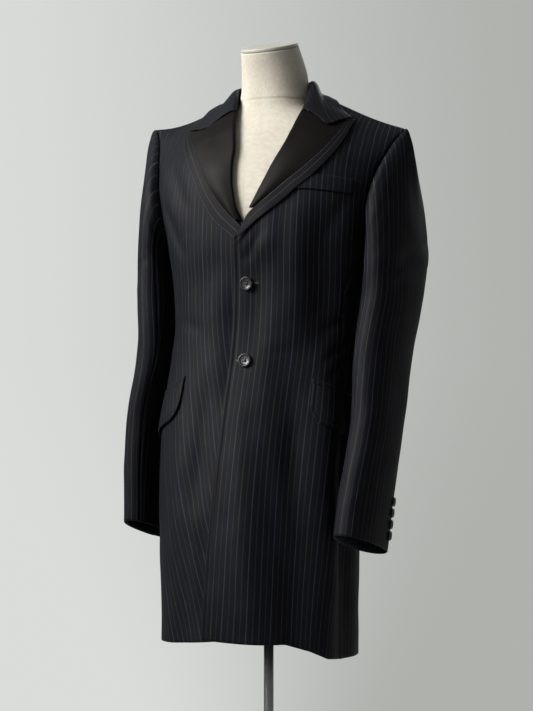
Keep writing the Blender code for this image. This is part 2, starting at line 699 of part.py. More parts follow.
FRONT_BUTTONS = [("button_1", 0.0130, 1.1410), ("button_2", 0.0130, 1.0220)]
FRONT_RADIUS = 0.0105
FRONT_THICK = 0.0042
CUFF_RADIUS = 0.0073
CUFF_THICK = 0.0030
CUFF_BUTTON_FROM = 0.020
CUFF_BUTTON_STEP = 0.0155
CUFF_BUTTON_TURN = 20.0
for name, x, z in FRONT_BUTTONS:
    side, distance, level = place(x, z, 0.006, 1)
    normal = surface_normal(1, distance, level)
    normal /= np.linalg.norm(normal)
    centre = body(1, distance, level, lap(1, distance, level) + 0.0016)
    button(name, centre, normal, FRONT_RADIUS, FRONT_THICK)

for side in (1, -1):
    hand = "left" if side > 0 else "right"
    for k in range(4):
        down = 2.0 - (CUFF_BUTTON_FROM + CUFF_BUTTON_STEP * k) / (SLEEVE_TOP - CUFF_LEVEL)
        turn = SLEEVE_BACK_SEAM + CUFF_BUTTON_TURN
        here = sleeve(side, turn, down)
        along = sleeve(side, turn + 4, down) - sleeve(side, turn - 4, down)
        up = sleeve(side, turn, down - 0.02) - here
        normal = np.cross(up, along) * side
        normal /= np.linalg.norm(normal)
        if normal[0] * side < 0:
            normal = -normal
        name = "cuff_button_%s_%d" % (hand, k + 1)
        button(name, here + normal * 0.0006, normal, CUFF_RADIUS, CUFF_THICK, CUFF_PROFILE, 16)

# ---- form ----
# The form's own rings: height, half width, x and y of the middle, depth to front and back.
FORM = [
    [0.745, 0.124, -0.006, -0.012, 0.092, 0.098],
    [0.760, 0.132, -0.006, -0.012, 0.098, 0.104],
    [0.850, 0.137, -0.006, -0.012, 0.100, 0.106],
    [0.940, 0.134, -0.005, -0.010, 0.093, 0.099],
    [1.070, 0.126, 0.001, -0.003, 0.080, 0.080],
    [1.140, 0.132, 0.003, 0.001, 0.095, 0.082],
    [1.215, 0.143, 0.004, 0.005, 0.1080, 0.088],
    [1.280, 0.147, 0.004, 0.010, 0.1075, 0.090],
    [1.340, 0.143, 0.004, 0.014, 0.0950, 0.080],
    [1.380, 0.122, 0.004, 0.016, 0.0750, 0.056],
    [1.405, 0.092, 0.0045, 0.016, 0.0590, 0.046],
    [1.425, 0.0635, 0.005, 0.017, 0.0530, 0.044],
    [1.445, 0.0575, 0.005, 0.016, 0.0505, 0.043],
    [1.480, 0.0535, 0.0055, 0.011, 0.0480, 0.044],
    [1.519, 0.0464, 0.004, -0.004, 0.0430, 0.043],
]


NECK_SLANT = 0.245


def form_ring(row, count=28):
    z, half_w, mid_x, mid_y, front, back = row
    n = 2.4 if z < 1.4 else 2.05
    tilt = max(0.0, z - 1.445) / 0.06
    made = []
    for k in range(count):
        angle = 2 * math.pi * k / count
        s, c = math.sin(angle), math.cos(angle)
        depth = front if c > 0 else back
        y = mid_y - depth * power(c, n)
        made.append((mid_x + half_w * power(s, n), y, z + tilt * NECK_SLANT * (y - mid_y)))
    return made


form_rings = [form_ring(row) for row in FORM]
lathe("form", form_rings, LINEN)
top = np.array(form_rings[-1])
middle = top.mean(0)
across = np.cross(top[7] - middle, top[0] - middle)
up = across / np.linalg.norm(across) * (1 if across[2] > 0 else -1)
CAP_PROFILE = [
    (0.96, 0.0004), (0.99, 0.0008), (1.00, 0.0020), (1.00, 0.0048), (0.985, 0.0060), (0.93, 0.0066),
    (0.45, 0.0070),
]
lathe("neck_cap", [middle + (top - middle) * s + up * h for s, h in CAP_PROFILE], CAP)

# ---- stand ----
SOCKET_TALL = 0.0217
BEVEL = 0.003
pole_ends = (BASE_THICK + SOCKET_TALL + GAP, FORM_BOTTOM - GAP)
lathe("pole", [circle((0, 0, z), POLE_RADIUS, 24) for z in pole_ends], STEEL)
BASE_PROFILE = [
    (BASE_RADIUS - BEVEL, 0.0), (BASE_RADIUS, BEVEL), (BASE_RADIUS, BASE_THICK - BEVEL),
    (BASE_RADIUS - BEVEL, BASE_THICK), (SOCKET_RADIUS + 0.004, BASE_THICK + 0.001),
    (SOCKET_RADIUS, BASE_THICK + 0.004), (SOCKET_RADIUS - 0.002, BASE_THICK + SOCKET_TALL),
]
lathe("base", [circle((0, 0, z), r, 48) for r, z in BASE_PROFILE], STEEL)
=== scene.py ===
# %% [markdown]
# # A long dinner jacket on a dress form
# A tailor's dress form on a steel pole wears a long, single-breasted jacket. Its peak lapels are
# faced in satin and bordered with the jacket's own pinstripe cloth. Everything here is in metres,
# with Z up. The jacket faces -Y, and the wearer's left is +X.
# The solids of the frame give each piece its place. They are coarse, so this lesson builds each
# piece again with a fine mesh, puts creases in it and gives it a woven finish.

# %% The frame
import math

import bpy
import numpy as np
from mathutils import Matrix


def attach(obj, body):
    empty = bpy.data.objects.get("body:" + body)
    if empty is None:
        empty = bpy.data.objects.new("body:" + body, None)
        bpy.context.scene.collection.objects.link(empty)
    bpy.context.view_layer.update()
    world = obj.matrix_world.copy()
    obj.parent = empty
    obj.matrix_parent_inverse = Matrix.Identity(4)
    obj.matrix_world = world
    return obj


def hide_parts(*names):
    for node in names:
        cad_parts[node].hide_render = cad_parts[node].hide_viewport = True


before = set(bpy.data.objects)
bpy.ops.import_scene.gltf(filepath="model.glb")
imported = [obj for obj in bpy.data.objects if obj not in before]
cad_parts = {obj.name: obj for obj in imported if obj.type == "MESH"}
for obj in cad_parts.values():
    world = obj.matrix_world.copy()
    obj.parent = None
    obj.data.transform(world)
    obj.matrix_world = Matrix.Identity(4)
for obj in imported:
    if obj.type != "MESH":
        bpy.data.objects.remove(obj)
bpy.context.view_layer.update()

# %% [markdown]
# ## Camera, floor and light
# The photograph was taken level with the jacket's waist, from 25 degrees towards the wearer's left,
# with a long lens. A camera that stands 2.5 m away sees the same overlap of sleeve and body.
# The camera's frame is 533 x 711, so its sensor width belongs to the tall side.

# %% The camera
FRAME_WIDTH = 533
FRAME_HEIGHT = 711
VIEW_TURN = math.radians(25.0)
VIEW_AWAY = 2.5
VIEW_HEIGHT = 1.03
FOCAL_PIXELS = 1560.0
OFF_CENTRE_PIXELS = 2.2
SENSOR = 36.0


def make_camera():
    data = bpy.data.cameras.new("camera")
    data.sensor_width = SENSOR
    data.lens = FOCAL_PIXELS * SENSOR / FRAME_HEIGHT
    camera = bpy.data.objects.new("camera", data)
    aside = OFF_CENTRE_PIXELS / FOCAL_PIXELS * VIEW_AWAY
    x = VIEW_AWAY * math.sin(VIEW_TURN) - aside * math.cos(VIEW_TURN)
    y = -VIEW_AWAY * math.cos(VIEW_TURN) - aside * math.sin(VIEW_TURN)
    camera.location = (x, y, VIEW_HEIGHT)
    camera.rotation_euler = (math.pi / 2, 0, VIEW_TURN)
    bpy.context.scene.collection.objects.link(camera)
    bpy.context.scene.camera = camera
    print("camera lens", round(data.lens, 1), "mm for a frame of", FRAME_WIDTH, "x", FRAME_HEIGHT)


make_camera()

# %% [markdown]
# Three helpers are used all the way down. One turns a colour as painters write it (sRGB hex) into the
# linear numbers that Blender mixes, one adds a shader node with its settings and links, and one
# starts a material.


# %% Colour and node helpers
SMOOTH = {"interpolation_type": "SMOOTHSTEP"}
COLOURS = {"data_type": "RGBA"}


def linear(colour):
    """An sRGB hex colour such as "#2a2c31" as linear red, green, blue and alpha."""
    parts = [int(colour[i:i + 2], 16) / 255 for i in (1, 3, 5)]
    return tuple(p / 12.92 if p <= 0.04045 else ((p + 0.055) / 1.055) ** 2.4 for p in parts) + (1.0,)


def feed(made, inputs):
    """Sets a node's inputs. A value may be plain, another node's output, or a node for its first one."""
    for name, value in inputs.items():
        if isinstance(value, bpy.types.Node):
            value = value.outputs[0]
        if isinstance(value, bpy.types.NodeSocket):
            made.id_data.links.new(value, made.inputs[name])
        else:
            made.inputs[name].default_value = value


def node(tree, kind, inputs=None, **settings):
    """Adds a shader node of a kind, with its settings and links."""
    made = tree.nodes.new("ShaderNode" + kind)
    for name, value in settings.items():
        setattr(made, name, value)
    feed(made, inputs or {})
    return made


def new_finish(name):
    """A new material, with its node tree and its shader."""
    made = bpy.data.materials.new(name)
    made.use_nodes = True
    return made, made.node_tree, made.node_tree.nodes["Principled BSDF"]


# %% [markdown]
# A big soft window stands high to the picture's left, as in a studio by day, and the room on the
# right is darker, so the dark cloth falls off to near black there. A weaker window behind keeps the
# back readable. The camera sees a pale wall all round, with painted light and shade: lighter on the
# window's side and darker on the other. What lights the cloth from there is only a dim fill, a
# little dimmer behind the form and on the shaded side. The floor is pale paint near the stand.
# Further out, to the camera only, it glows with the wall's colour and its painted light and shade,
# so no line shows where floor and wall meet.

# %% Floor, world and lights
WALL_LIT = "#dadcda"
WALL_SHADED = "#afb1ad"
WALL_LEFT = -0.60
WALL_RIGHT = -0.24
FLOOR_COLOUR = "#cfd0cf"
FLOOR_REACH = 80.0
FILL_COLOUR = "#ecebe8"
FILL_FRONT = 0.44
FILL_BEHIND = 0.36
FILL_SHADED = 0.68
SWEEP_FROM = 0.8
SWEEP_TO = 1.8


def wall_colour(tree, direction):
    """The wall's colour in a direction: lit on the window's side and shaded on the other."""
    split = node(tree, "SeparateXYZ", {0: direction})
    share = node(tree, "MapRange", {0: split, 1: WALL_LEFT, 2: WALL_RIGHT}, **SMOOTH)
    mixed = node(tree, "Mix", {0: share, 6: linear(WALL_LIT), 7: linear(WALL_SHADED)}, **COLOURS)
    return mixed.outputs[2], split


def make_world():
    world = bpy.data.worlds.new("studio")
    bpy.context.scene.world = world
    world.use_nodes = True
    tree = world.node_tree
    tree.nodes.clear()
    direction = node(tree, "TexCoord").outputs["Generated"]
    wall, split = wall_colour(tree, direction)
    depth = split.outputs[1]
    behind = node(tree, "MapRange", {0: depth, 1: -0.2, 2: 0.9, 3: FILL_FRONT, 4: FILL_BEHIND}, **SMOOTH)
    shaded = node(tree, "MapRange", {0: split, 1: 0.1, 2: 0.8, 3: 1.0, 4: FILL_SHADED}, **SMOOTH)
    strength = node(tree, "Math", {0: behind, 1: shaded}, operation="MULTIPLY")
    fill = node(tree, "Background", {0: linear(FILL_COLOUR), 1: strength})
    # The wall that the camera sees is painted light and shade: lighter on the window's side, darker on the other.
    seen = node(tree, "Background", {0: wall, 1: 1.0})
    looked_at = node(tree, "LightPath").outputs["Is Camera Ray"]
    mixed = node(tree, "MixShader", {0: looked_at, 1: fill, 2: seen})
    node(tree, "OutputWorld", {0: mixed})


def make_floor():
    mesh = bpy.data.meshes.new("floor")
    corners = [(x * FLOOR_REACH, y * FLOOR_REACH, 0) for x, y in ((-1, -1), (1, -1), (1, 1), (-1, 1))]
    mesh.from_pydata(corners, [], [(0, 1, 2, 3)])
    floor = bpy.data.objects.new("floor", mesh)
    bpy.context.scene.collection.objects.link(floor)
    paint, tree, shader = new_finish("matt_floor_paint_and_painted_wall_glow")
    spot = node(tree, "TexCoord").outputs["Object"]
    grain = node(tree, "TexNoise", {"Vector": spot, "Scale": 3.0, "Detail": 3.0})
    tone = node(tree, "Mix", {0: grain, 6: linear(FLOOR_COLOUR), 7: linear("#d6d7d5")}, **COLOURS)
    feed(shader, {"Base Color": tone.outputs[2], "Roughness": 0.85})
    away = node(tree, "VectorMath", {0: spot}, operation="NORMALIZE")
    wall, _ = wall_colour(tree, away)
    length = node(tree, "VectorMath", {0: spot}, operation="LENGTH").outputs["Value"]
    share = node(tree, "MapRange", {0: length, 1: SWEEP_FROM, 2: SWEEP_TO}, **SMOOTH)
    looked_at = node(tree, "LightPath").outputs["Is Camera Ray"]
    share = node(tree, "Math", {0: share, 1: looked_at}, operation="MULTIPLY")
    # Far from the stand the floor glows, to the camera only, with the wall's painted light and shade.
    painted_wall_glow = node(tree, "Emission", {0: wall})
    mixed = node(tree, "MixShader", {0: share, 1: shader, 2: painted_wall_glow})
    feed(tree.nodes["Material Output"], {"Surface": mixed})
    mesh.materials.append(paint)


def add_light(name, turn, away, height, size, watts, colour, aim, spread):
    """An area light that stands turn degrees round from the front. A grid on it narrows its spread."""
    data = bpy.data.lights.new(name, "AREA")
    data.shape = "RECTANGLE"
    data.size, data.size_y = size
    data.energy = watts
    data.color = linear(colour)[:3]
    data.spread = math.radians(spread)
    light = bpy.data.objects.new(name, data)
    angle = math.radians(turn)
    light.location = (away * math.sin(angle), -away * math.cos(angle), height)
    towards = np.array(aim) - np.array(light.location)
    light.rotation_euler = (math.acos(-towards[2] / np.linalg.norm(towards)), 0,
                            math.atan2(towards[1], towards[0]) - math.pi / 2)
    bpy.context.scene.collection.objects.link(light)


make_world()
make_floor()
add_light("window", -47, 2.7, 2.80, (2.4, 1.8), 43, "#fffdfa", (0.0, 0.0, 1.46), 50)
add_light("back_window", 178, 3.2, 2.9, (2.0, 1.6), 15, "#f6f9ff", (0.0, 0.0, 1.20), 100)
bpy.context.scene.view_settings.view_transform = "Standard"

# %% [markdown]
# ## The jacket's shape
# A body panel is easiest to think of as lying on rings: at each height one closed curve runs round
# the jacket, and a place is given by how far it is from the centre front along that curve and by its
# level. The table below has one row for each ring, with a few widths and depths. A smooth curve runs
# through the rows, so any level has a ring. The numbers are the same as in the solids.

# %% Sizes and rings
HAND = {1: "left", -1: "right"}  # side +1 is the wearer's left
CLOTH = 0.0020
GAP = 0.0003
LAP_LIFT = 0.0036
BREAK = 1.206
PIT = 1.215
SHOULDER = 1.440
SHOULDER_TILT = 0.045
SHOULDER_DROP = 0.006
SHOULDER_HALF = 0.220
ROUNDS_FROM = 1.25
ROUNDS_OVER = 0.17

# level z_front z_side z_back half_w mid_x mid_y front back square
RINGS = np.array([
    [0.590, 0.590, 0.554, 0.548, 0.1575, 0.001, -0.036, 0.138, 0.136, 2.15],
    [0.650, 0.650, 0.622, 0.618, 0.1585, 0.000, -0.034, 0.137, 0.134, 2.15],
    [0.750, 0.750, 0.735, 0.733, 0.162, -0.004, -0.029, 0.131, 0.130, 2.15],
    [0.850, 0.850, 0.844, 0.843, 0.164, -0.008, -0.023, 0.121, 0.124, 2.15],
    [0.920, 0.920, 0.918, 0.918, 0.163, -0.007, -0.018, 0.112, 0.117, 2.2],
    [0.980, 0.980, 0.980, 0.980, 0.161, -0.004, -0.013, 0.105, 0.109, 2.2],
    [1.030, 1.030, 1.030, 1.030, 0.158, -0.001, -0.009, 0.100, 0.101, 2.2],
    [1.080, 1.080, 1.080, 1.080, 0.156, 0.001, -0.005, 0.099, 0.096, 2.25],
    [1.140, 1.140, 1.140, 1.140, 0.163, 0.003, -0.001, 0.103, 0.096, 2.3],
    [1.215, 1.215, 1.215, 1.215, 0.1745, 0.004, 0.003, 0.111, 0.102, 2.45],
    [1.280, 1.290, 1.270, 1.275, 0.187, 0.004, 0.008, 0.108, 0.104, 2.6],
    [1.340, 1.362, 1.318, 1.335, 0.199, 0.004, 0.012, 0.088, 0.096, 2.6],
    [1.390, 1.413, 1.358, 1.391, 0.2095, 0.004, 0.016, 0.056, 0.078, 2.4],
    [1.420, 1.442, 1.384, 1.426, 0.216, 0.004, 0.019, 0.029, 0.052, 2.2],
    [1.440, 1.461, 1.4015, 1.461, 0.220, 0.004, 0.021, 0.00015, 0.00015, 2.0],
])


def smooth(table, value):
    """Smooth curve through rows of (level, values...). It takes one level or an array of them."""
    table = np.asarray(table, float)
    xs = table[:, 0]
    ys = table[:, 1:]
    slopes = np.gradient(ys, xs, axis=0)
    value = np.clip(np.asarray(value, float), xs[0], xs[-1])
    i = np.clip(np.searchsorted(xs, value) - 1, 0, len(xs) - 2)
    h = (xs[i + 1] - xs[i])[..., None]
    u = (value[..., None] - xs[i][..., None]) / h
    got = (1 + 2 * u) * (1 - u) ** 2 * ys[i] + u * (1 - u) ** 2 * h * slopes[i]
    got += u * u * (3 - 2 * u) * ys[i + 1] + u * u * (u - 1) * h * slopes[i + 1]
    return got[..., 0] if ys.shape[1] == 1 else got


def power(value, n):
    return np.sign(value) * np.abs(value) ** (2.0 / n)


def smoothstep(value):
    value = np.clip(value, 0.0, 1.0)
    return value * value * (3 - 2 * value)


def bell(value, width):
    return np.exp(-((value / width) ** 2))


def unit(vectors):
    return vectors / np.maximum(np.linalg.norm(vectors, axis=-1, keepdims=True), 1e-9)


def walk_along(points, axis=0):
    """Metres walked along one axis of a grid of points, from its first point."""
    steps = np.linalg.norm(np.diff(points, axis=axis), axis=-1)
    return np.insert(np.cumsum(steps, axis=axis), 0, 0.0, axis=axis)


# %% [markdown]
# Working out a ring is slow when it is done again for each point. So both halves of the body are
# worked out once on a close grid, a millimetre apart, and later calls only look places up in it.

# %% A close grid of the body
STEP = 0.001
LEVELS = np.arange(0.585, SHOULDER + STEP / 2, STEP)
WALKS = np.arange(-0.075, 0.560, STEP)
WAIST = 1.08


def body_grid(side):
    """The outer face of one half at each level and each distance from the centre front."""
    angles = np.linspace(-0.55, math.pi, 900)
    rows = smooth(RINGS, LEVELS)
    z_front, z_side, z_back, half_w, mid_x, mid_y, front, back, square = (c[:, None] for c in rows.T)
    u = smoothstep((LEVELS - ROUNDS_FROM) / ROUNDS_OVER)[:, None]
    c = np.cos(angles)[None, :]
    x = mid_x + side * half_w * power(np.sin(angles)[None, :], square)
    y = mid_y - np.where(c > 0, front, back) * power(c, square)
    rise = np.where(c > 0, z_front, z_back) - z_side
    z = z_side + rise * np.abs(c) ** (2.0 + 3.0 * u)
    z = z - u * (SHOULDER_TILT * x ** 3 / 0.04 + SHOULDER_DROP * (np.abs(x) / SHOULDER_HALF) ** 6)
    steps = np.hypot(np.diff(x, axis=1), np.diff(y, axis=1))
    walked = np.insert(np.cumsum(steps, axis=1), 0, 0.0, axis=1)
    grid = np.empty((len(LEVELS), len(WALKS), 3))
    half = np.empty(len(LEVELS))
    for i in range(len(LEVELS)):
        walk = walked[i] - np.interp(0.0, angles, walked[i])
        half[i] = walk[-1]
        for k, values in enumerate((x, y, z)):
            grid[i, :, k] = np.interp(WALKS, walk, values[i])
    return grid, half


BODIES = {side: body_grid(side) for side in HAND}


def bare(side, distance, level):
    """Looks a place up in the grid, between its four nearest points."""
    grid = BODIES[side][0]
    i = np.clip((level - LEVELS[0]) / STEP, 0, len(LEVELS) - 1.001)
    j = np.clip((distance - WALKS[0]) / STEP, 0, len(WALKS) - 1.001)
    i, j = np.broadcast_arrays(i, j)
    i0 = i.astype(int)
    j0 = j.astype(int)
    a = (i - i0)[..., None]
    b = (j - j0)[..., None]
    low = grid[i0, j0] * (1 - b) + grid[i0, j0 + 1] * b
    high = grid[i0 + 1, j0] * (1 - b) + grid[i0 + 1, j0 + 1] * b
    return low * (1 - a) + high * a


def half_round(side, level):
    return np.interp(level, LEVELS, BODIES[side][1])


print("girth at the waist", round(sum(half_round(side, WAIST) for side in HAND), 3), "m")


# %% [markdown]
# ## Folds
# Cloth this heavy hangs in a few long, soft troughs, and pulls into short creases where it is
# buttoned and under the arms. Each fold is one row: where it starts and ends, how far it bows
# sideways, how wide it is and how deep. A trough is negative and a ridge positive. The row's profile
# is a bell curve that fades out at both ends, so that no fold has a hard edge.

# %% Troughs of the skirt
# side, distance at the hem and where it fades out, level where it fades out, depth and half width
FLUTES = [
    (1, 0.122, 0.060, 0.90, 0.0075, 0.022),
    (1, 0.215, 0.190, 0.98, 0.0080, 0.024),
    (1, 0.330, 0.300, 0.95, 0.0060, 0.026),
    (-1, 0.075, 0.060, 0.86, 0.0045, 0.020),
    (-1, 0.200, 0.185, 0.98, 0.0070, 0.024),
    (-1, 0.320, 0.300, 0.95, 0.0060, 0.026),
]


def flute(side, distance, level):
    total = 0.0
    for of_side, at_hem, at_top, top, depth, width in FLUTES:
        if of_side != side:
            continue
        down = np.clip((top - level) / (top - 0.56), 0, None)
        centre = at_top + (at_hem - at_top) * down
        fade = np.sin(np.minimum(down, 1.0) * math.pi / 2) ** 1.5
        total = total + depth * fade * bell(distance - centre, width * (0.7 + 0.5 * down))
    return total


# %% Creases of the body
# side, start (distance, level), end (distance, level), bow, half width, height
CREASES = [
    (-1, 0.012, 1.170, 0.008, 0.900, 0.000, 0.016, -0.0042),
    (-1, 0.050, 1.180, 0.046, 0.930, 0.000, 0.022, 0.0034),
    (-1, 0.052, 1.020, 0.046, 0.760, 0.003, 0.016, -0.0050),
    (-1, 0.095, 1.000, 0.088, 0.640, 0.004, 0.024, 0.0042),
    (-1, 0.034, 0.800, 0.032, 0.580, 0.002, 0.015, -0.0050),
    (-1, 0.178, 1.300, 0.098, 1.170, -0.006, 0.010, -0.0034),
    (-1, 0.190, 1.262, 0.126, 1.120, -0.008, 0.011, -0.0045),
    (-1, 0.160, 1.365, 0.092, 1.235, -0.004, 0.013, -0.0031),
    (-1, 0.172, 1.200, 0.142, 1.080, -0.006, 0.012, -0.0036),
    (-1, 0.140, 1.085, 0.060, 1.062, 0.003, 0.010, -0.0014),
    (1, 0.044, 1.232, 0.000, 1.166, 0.002, 0.010, -0.0032),
    (1, 0.026, 1.220, 0.004, 1.180, 0.001, 0.006, 0.0020),
    (1, 0.026, 1.190, 0.024, 1.000, 0.000, 0.018, -0.0028),
    (1, 0.086, 1.300, 0.084, 1.000, 0.000, 0.030, 0.0067),
    (1, 0.132, 1.290, 0.128, 1.000, 0.003, 0.026, -0.0059),
    (1, 0.022, 1.026, 0.110, 1.050, 0.004, 0.010, -0.0011),
    (1, 0.196, 1.060, 0.126, 1.010, 0.004, 0.006, -0.0025),
    (1, 0.196, 1.032, 0.138, 0.985, 0.003, 0.005, -0.0022),
    (1, 0.180, 1.100, 0.118, 1.062, -0.004, 0.008, -0.0020),
    (1, 0.168, 1.290, 0.120, 1.190, -0.005, 0.012, -0.0022),
    (1, 0.124, 1.110, 0.184, 0.560, -0.010, 0.025, 0.0088),
    (1, 0.082, 1.060, 0.126, 0.540, -0.008, 0.022, -0.0080),
    (1, 0.016, 1.000, 0.044, 0.600, 0.002, 0.018, 0.0036),
    (1, 0.186, 1.000, 0.218, 0.590, 0.004, 0.020, -0.0042),
    (1, 0.240, 1.120, 0.215, 1.030, 0.004, 0.010, -0.0031),
    (-1, 0.240, 1.130, 0.210, 1.040, 0.004, 0.010, -0.0034),
    (1, 0.330, 1.190, 0.400, 1.100, 0.008, 0.014, -0.0036),
    (-1, 0.325, 1.180, 0.395, 1.110, 0.008, 0.014, -0.0034),
    (1, 0.300, 1.110, 0.380, 1.055, 0.006, 0.011, -0.0028),
    (-1, 0.310, 1.100, 0.385, 1.040, 0.006, 0.012, -0.0031),
    (1, 0.380, 1.360, 0.330, 1.260, 0.006, 0.013, -0.0022),
    (-1, 0.376, 1.350, 0.335, 1.250, 0.006, 0.013, -0.0025),
    (1, 0.386, 0.980, 0.400, 0.590, 0.006, 0.022, 0.0036),
    (-1, 0.376, 0.960, 0.392, 0.590, 0.006, 0.022, 0.0034),
]


def crease_rows(rows, side, a, b):
    """Adds up the folds of one side at places a, b in metres."""
    total = 0.0
    for of_side, a0, b0, a1, b1, bow, width, height in rows:
        if of_side != side:
            continue
        length = math.hypot(a1 - a0, b1 - b0)
        ta, tb = (a1 - a0) / length, (b1 - b0) / length
        along = ((a - a0) * ta + (b - b0) * tb) / length
        off = (a - a0) * tb - (b - b0) * ta - bow * 4 * along * (1 - along)
        fade = smoothstep(along / 0.35) * smoothstep((1 - along) / 0.35)
        total = total + height * fade * bell(off, width * (0.8 + 0.4 * along))
    return total


def unevenness(a, b, seed):
    """Slow waves of about half a millimetre, because hung cloth is never quite even."""
    waves = np.sin(a * 61 + b * 17 + seed) * np.sin(b * 43 - a * 13 + 2.1 * seed)
    waves = waves + 0.6 * np.sin(a * 97 - b * 31 + 1.3 * seed) * np.sin(b * 71 + a * 23 + seed)
    return 0.0005 * waves


# %% The creased body
RIDGE_FROM = 1.422
CALM_FROM = 1.425


def body(side, distance, level, out=0.0, creased=True):
    """Points of the jacket's outer face and their normals, moved out of it by out."""
    level = np.clip(level, RINGS[0, 0], SHOULDER)
    distance, level = np.broadcast_arrays(np.asarray(distance, float), np.asarray(level, float))
    e = 0.004
    here = bare(side, distance, level)
    along = bare(side, distance + e, level) - bare(side, distance - e, level)
    up = bare(side, distance, np.minimum(level + e, SHOULDER)) - bare(side, distance, level - e)
    normal = unit(np.cross(along, up) * side)
    ridge = np.clip((level - RIDGE_FROM) / (SHOULDER - RIDGE_FROM), 0, 1)[..., None]
    normal = unit(normal * (1 - ridge) + np.array([0.0, 0.0, 1.0]) * ridge)
    move = out - flute(side, distance, level)
    if creased:
        calm = smoothstep((CALM_FROM - level) / 0.05)
        at_back = smoothstep((half_round(side, level) - distance) / 0.03)
        folds = crease_rows(CREASES, side, distance, level) + unevenness(distance, level, side)
        move = move + folds * calm * at_back
    return here + normal * np.asarray(move)[..., None], normal


def lap(side, distance, level):
    """How far the left front is lifted near its edge, because it lies over the right one."""
    if side < 0:
        return np.zeros(np.broadcast(distance, level).shape)
    lift = LAP_LIFT + 0.0048 * bell(level - 1.212, 0.034)
    return lift * smoothstep((0.078 - distance) / 0.036) * np.clip((1.30 - level) / 0.06, 0, 1)


# %% [markdown]
# ## Cloth as a shell
# Every piece of cloth is a thin closed shell: an outer face, an inner face a cloth's thickness
# behind it, and a rim between them that is rounded like a pressed fold. Each point also gets its
# place on the flat cut, in metres, which the weave and the stripes are drawn from.


# %% The shell builder
def rim_walk(rows, cols):
    """The grid's border as (row, column) pairs, once round."""
    walk = [(0, j) for j in range(cols)]
    walk += [(i, cols - 1) for i in range(1, rows)]
    walk += [(rows - 1, j) for j in range(cols - 2, -1, -1)]
    walk += [(i, 0) for i in range(rows - 2, 0, -1)]
    return np.array(walk)


def add_mesh(name, points, faces, material, cut=None):
    mesh = bpy.data.meshes.new(name)
    mesh.from_pydata(np.asarray(points, float).tolist(), [], [list(map(int, f)) for f in faces])
    mesh.polygons.foreach_set("use_smooth", np.ones(len(mesh.polygons), bool))
    if cut is not None:
        layer = mesh.uv_layers.new(name="cut")
        corner = np.empty(len(mesh.loops), np.int32)
        mesh.loops.foreach_get("vertex_index", corner)
        layer.data.foreach_set("uv", np.asarray(cut, np.float32)[corner].ravel())
    mesh.materials.append(material)
    mesh.update()
    obj = bpy.data.objects.new(name, mesh)
    bpy.context.scene.collection.objects.link(obj)
    return obj


def shell(name, grid, facing, material, cut, thick=CLOTH):
    """A closed cloth shell from a grid of points. facing says roughly which way is out."""
    rows, cols = grid.shape[:2]
    normal = unit(np.cross(np.gradient(grid, axis=1), np.gradient(grid, axis=0)))
    sign = 1 if (normal * facing).sum() > 0 else -1
    inner = grid - normal * sign * thick
    border = rim_walk(rows, cols)
    i, j = border.T
    inward_row = np.clip(i, 1, rows - 2)
    inward_col = np.clip(j, 1, cols - 2)
    away = unit(grid[i, j] - grid[inward_row, inward_col])
    middle = (grid[i, j] + inner[i, j]) / 2 + away * thick * 0.42
    points = np.concatenate([grid.reshape(-1, 3), inner.reshape(-1, 3), middle])
    size = rows * cols
    flat = np.asarray(cut).reshape(-1, 2)
    index = np.arange(size).reshape(rows, cols)
    quads = np.stack([index[:-1, :-1], index[:-1, 1:], index[1:, 1:], index[1:, :-1]], -1).reshape(-1, 4)
    ring = i * cols + j
    mids = 2 * size + np.arange(len(ring))
    following = np.roll(np.arange(len(ring)), -1)
    outer_rim = np.stack([ring[following], ring, mids, mids[following]], -1)
    inner_rim = np.stack([mids[following], mids, ring + size, ring[following] + size], -1)
    faces = np.concatenate([quads, quads[:, ::-1] + size, outer_rim, inner_rim])
    if sign < 0:
        faces = faces[:, ::-1]
    return add_mesh(name, points, faces, material, np.concatenate([flat, flat, flat[ring]]))


def declare(piece, node_name):
    """Hangs a piece under the root and hides the frame's node that it is built in place of."""
    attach(piece, "root")
    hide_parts(node_name)


def cloth_piece(node_name, grid, facing, material, cut, thick=CLOTH):
    piece = shell("cloth_" + node_name, grid, facing, material, cut, thick)
    declare(piece, node_name)


# %% [markdown]
# ## Worsted wool twill with a pinstripe
# Worsted is spun from combed fibres, so it is smooth, with a faint sheen on the side that turns
# away. The twill's ribs run up to the right, about 0.5 mm apart, which is finer than a pixel here:
# they are drawn 1.1 mm apart so that they still show close up. The stripe is a single light yarn
# every 17.5 mm, cool grey and tan by turns, with a fainter one half way between.
# A real yarn is about 0.5 mm wide. It is drawn 1.1 mm wide here, so that it shows, and the weave
# breaks it up.

# %% Wool
STRIPE_EVERY = 0.0175
STRIPE_HALF = 0.00055
FAINT_GAIN = 0.55
FLOAT_EVERY = 0.0016
TWILL_EVERY = 0.0011


def ribs(tree, place, every):
    """A wave across a place on the cut, with a crest every so many metres."""
    turns = node(tree, "Math", {0: place, 1: 2 * math.pi / every}, operation="MULTIPLY")
    return node(tree, "Math", {0: turns}, operation="SINE")


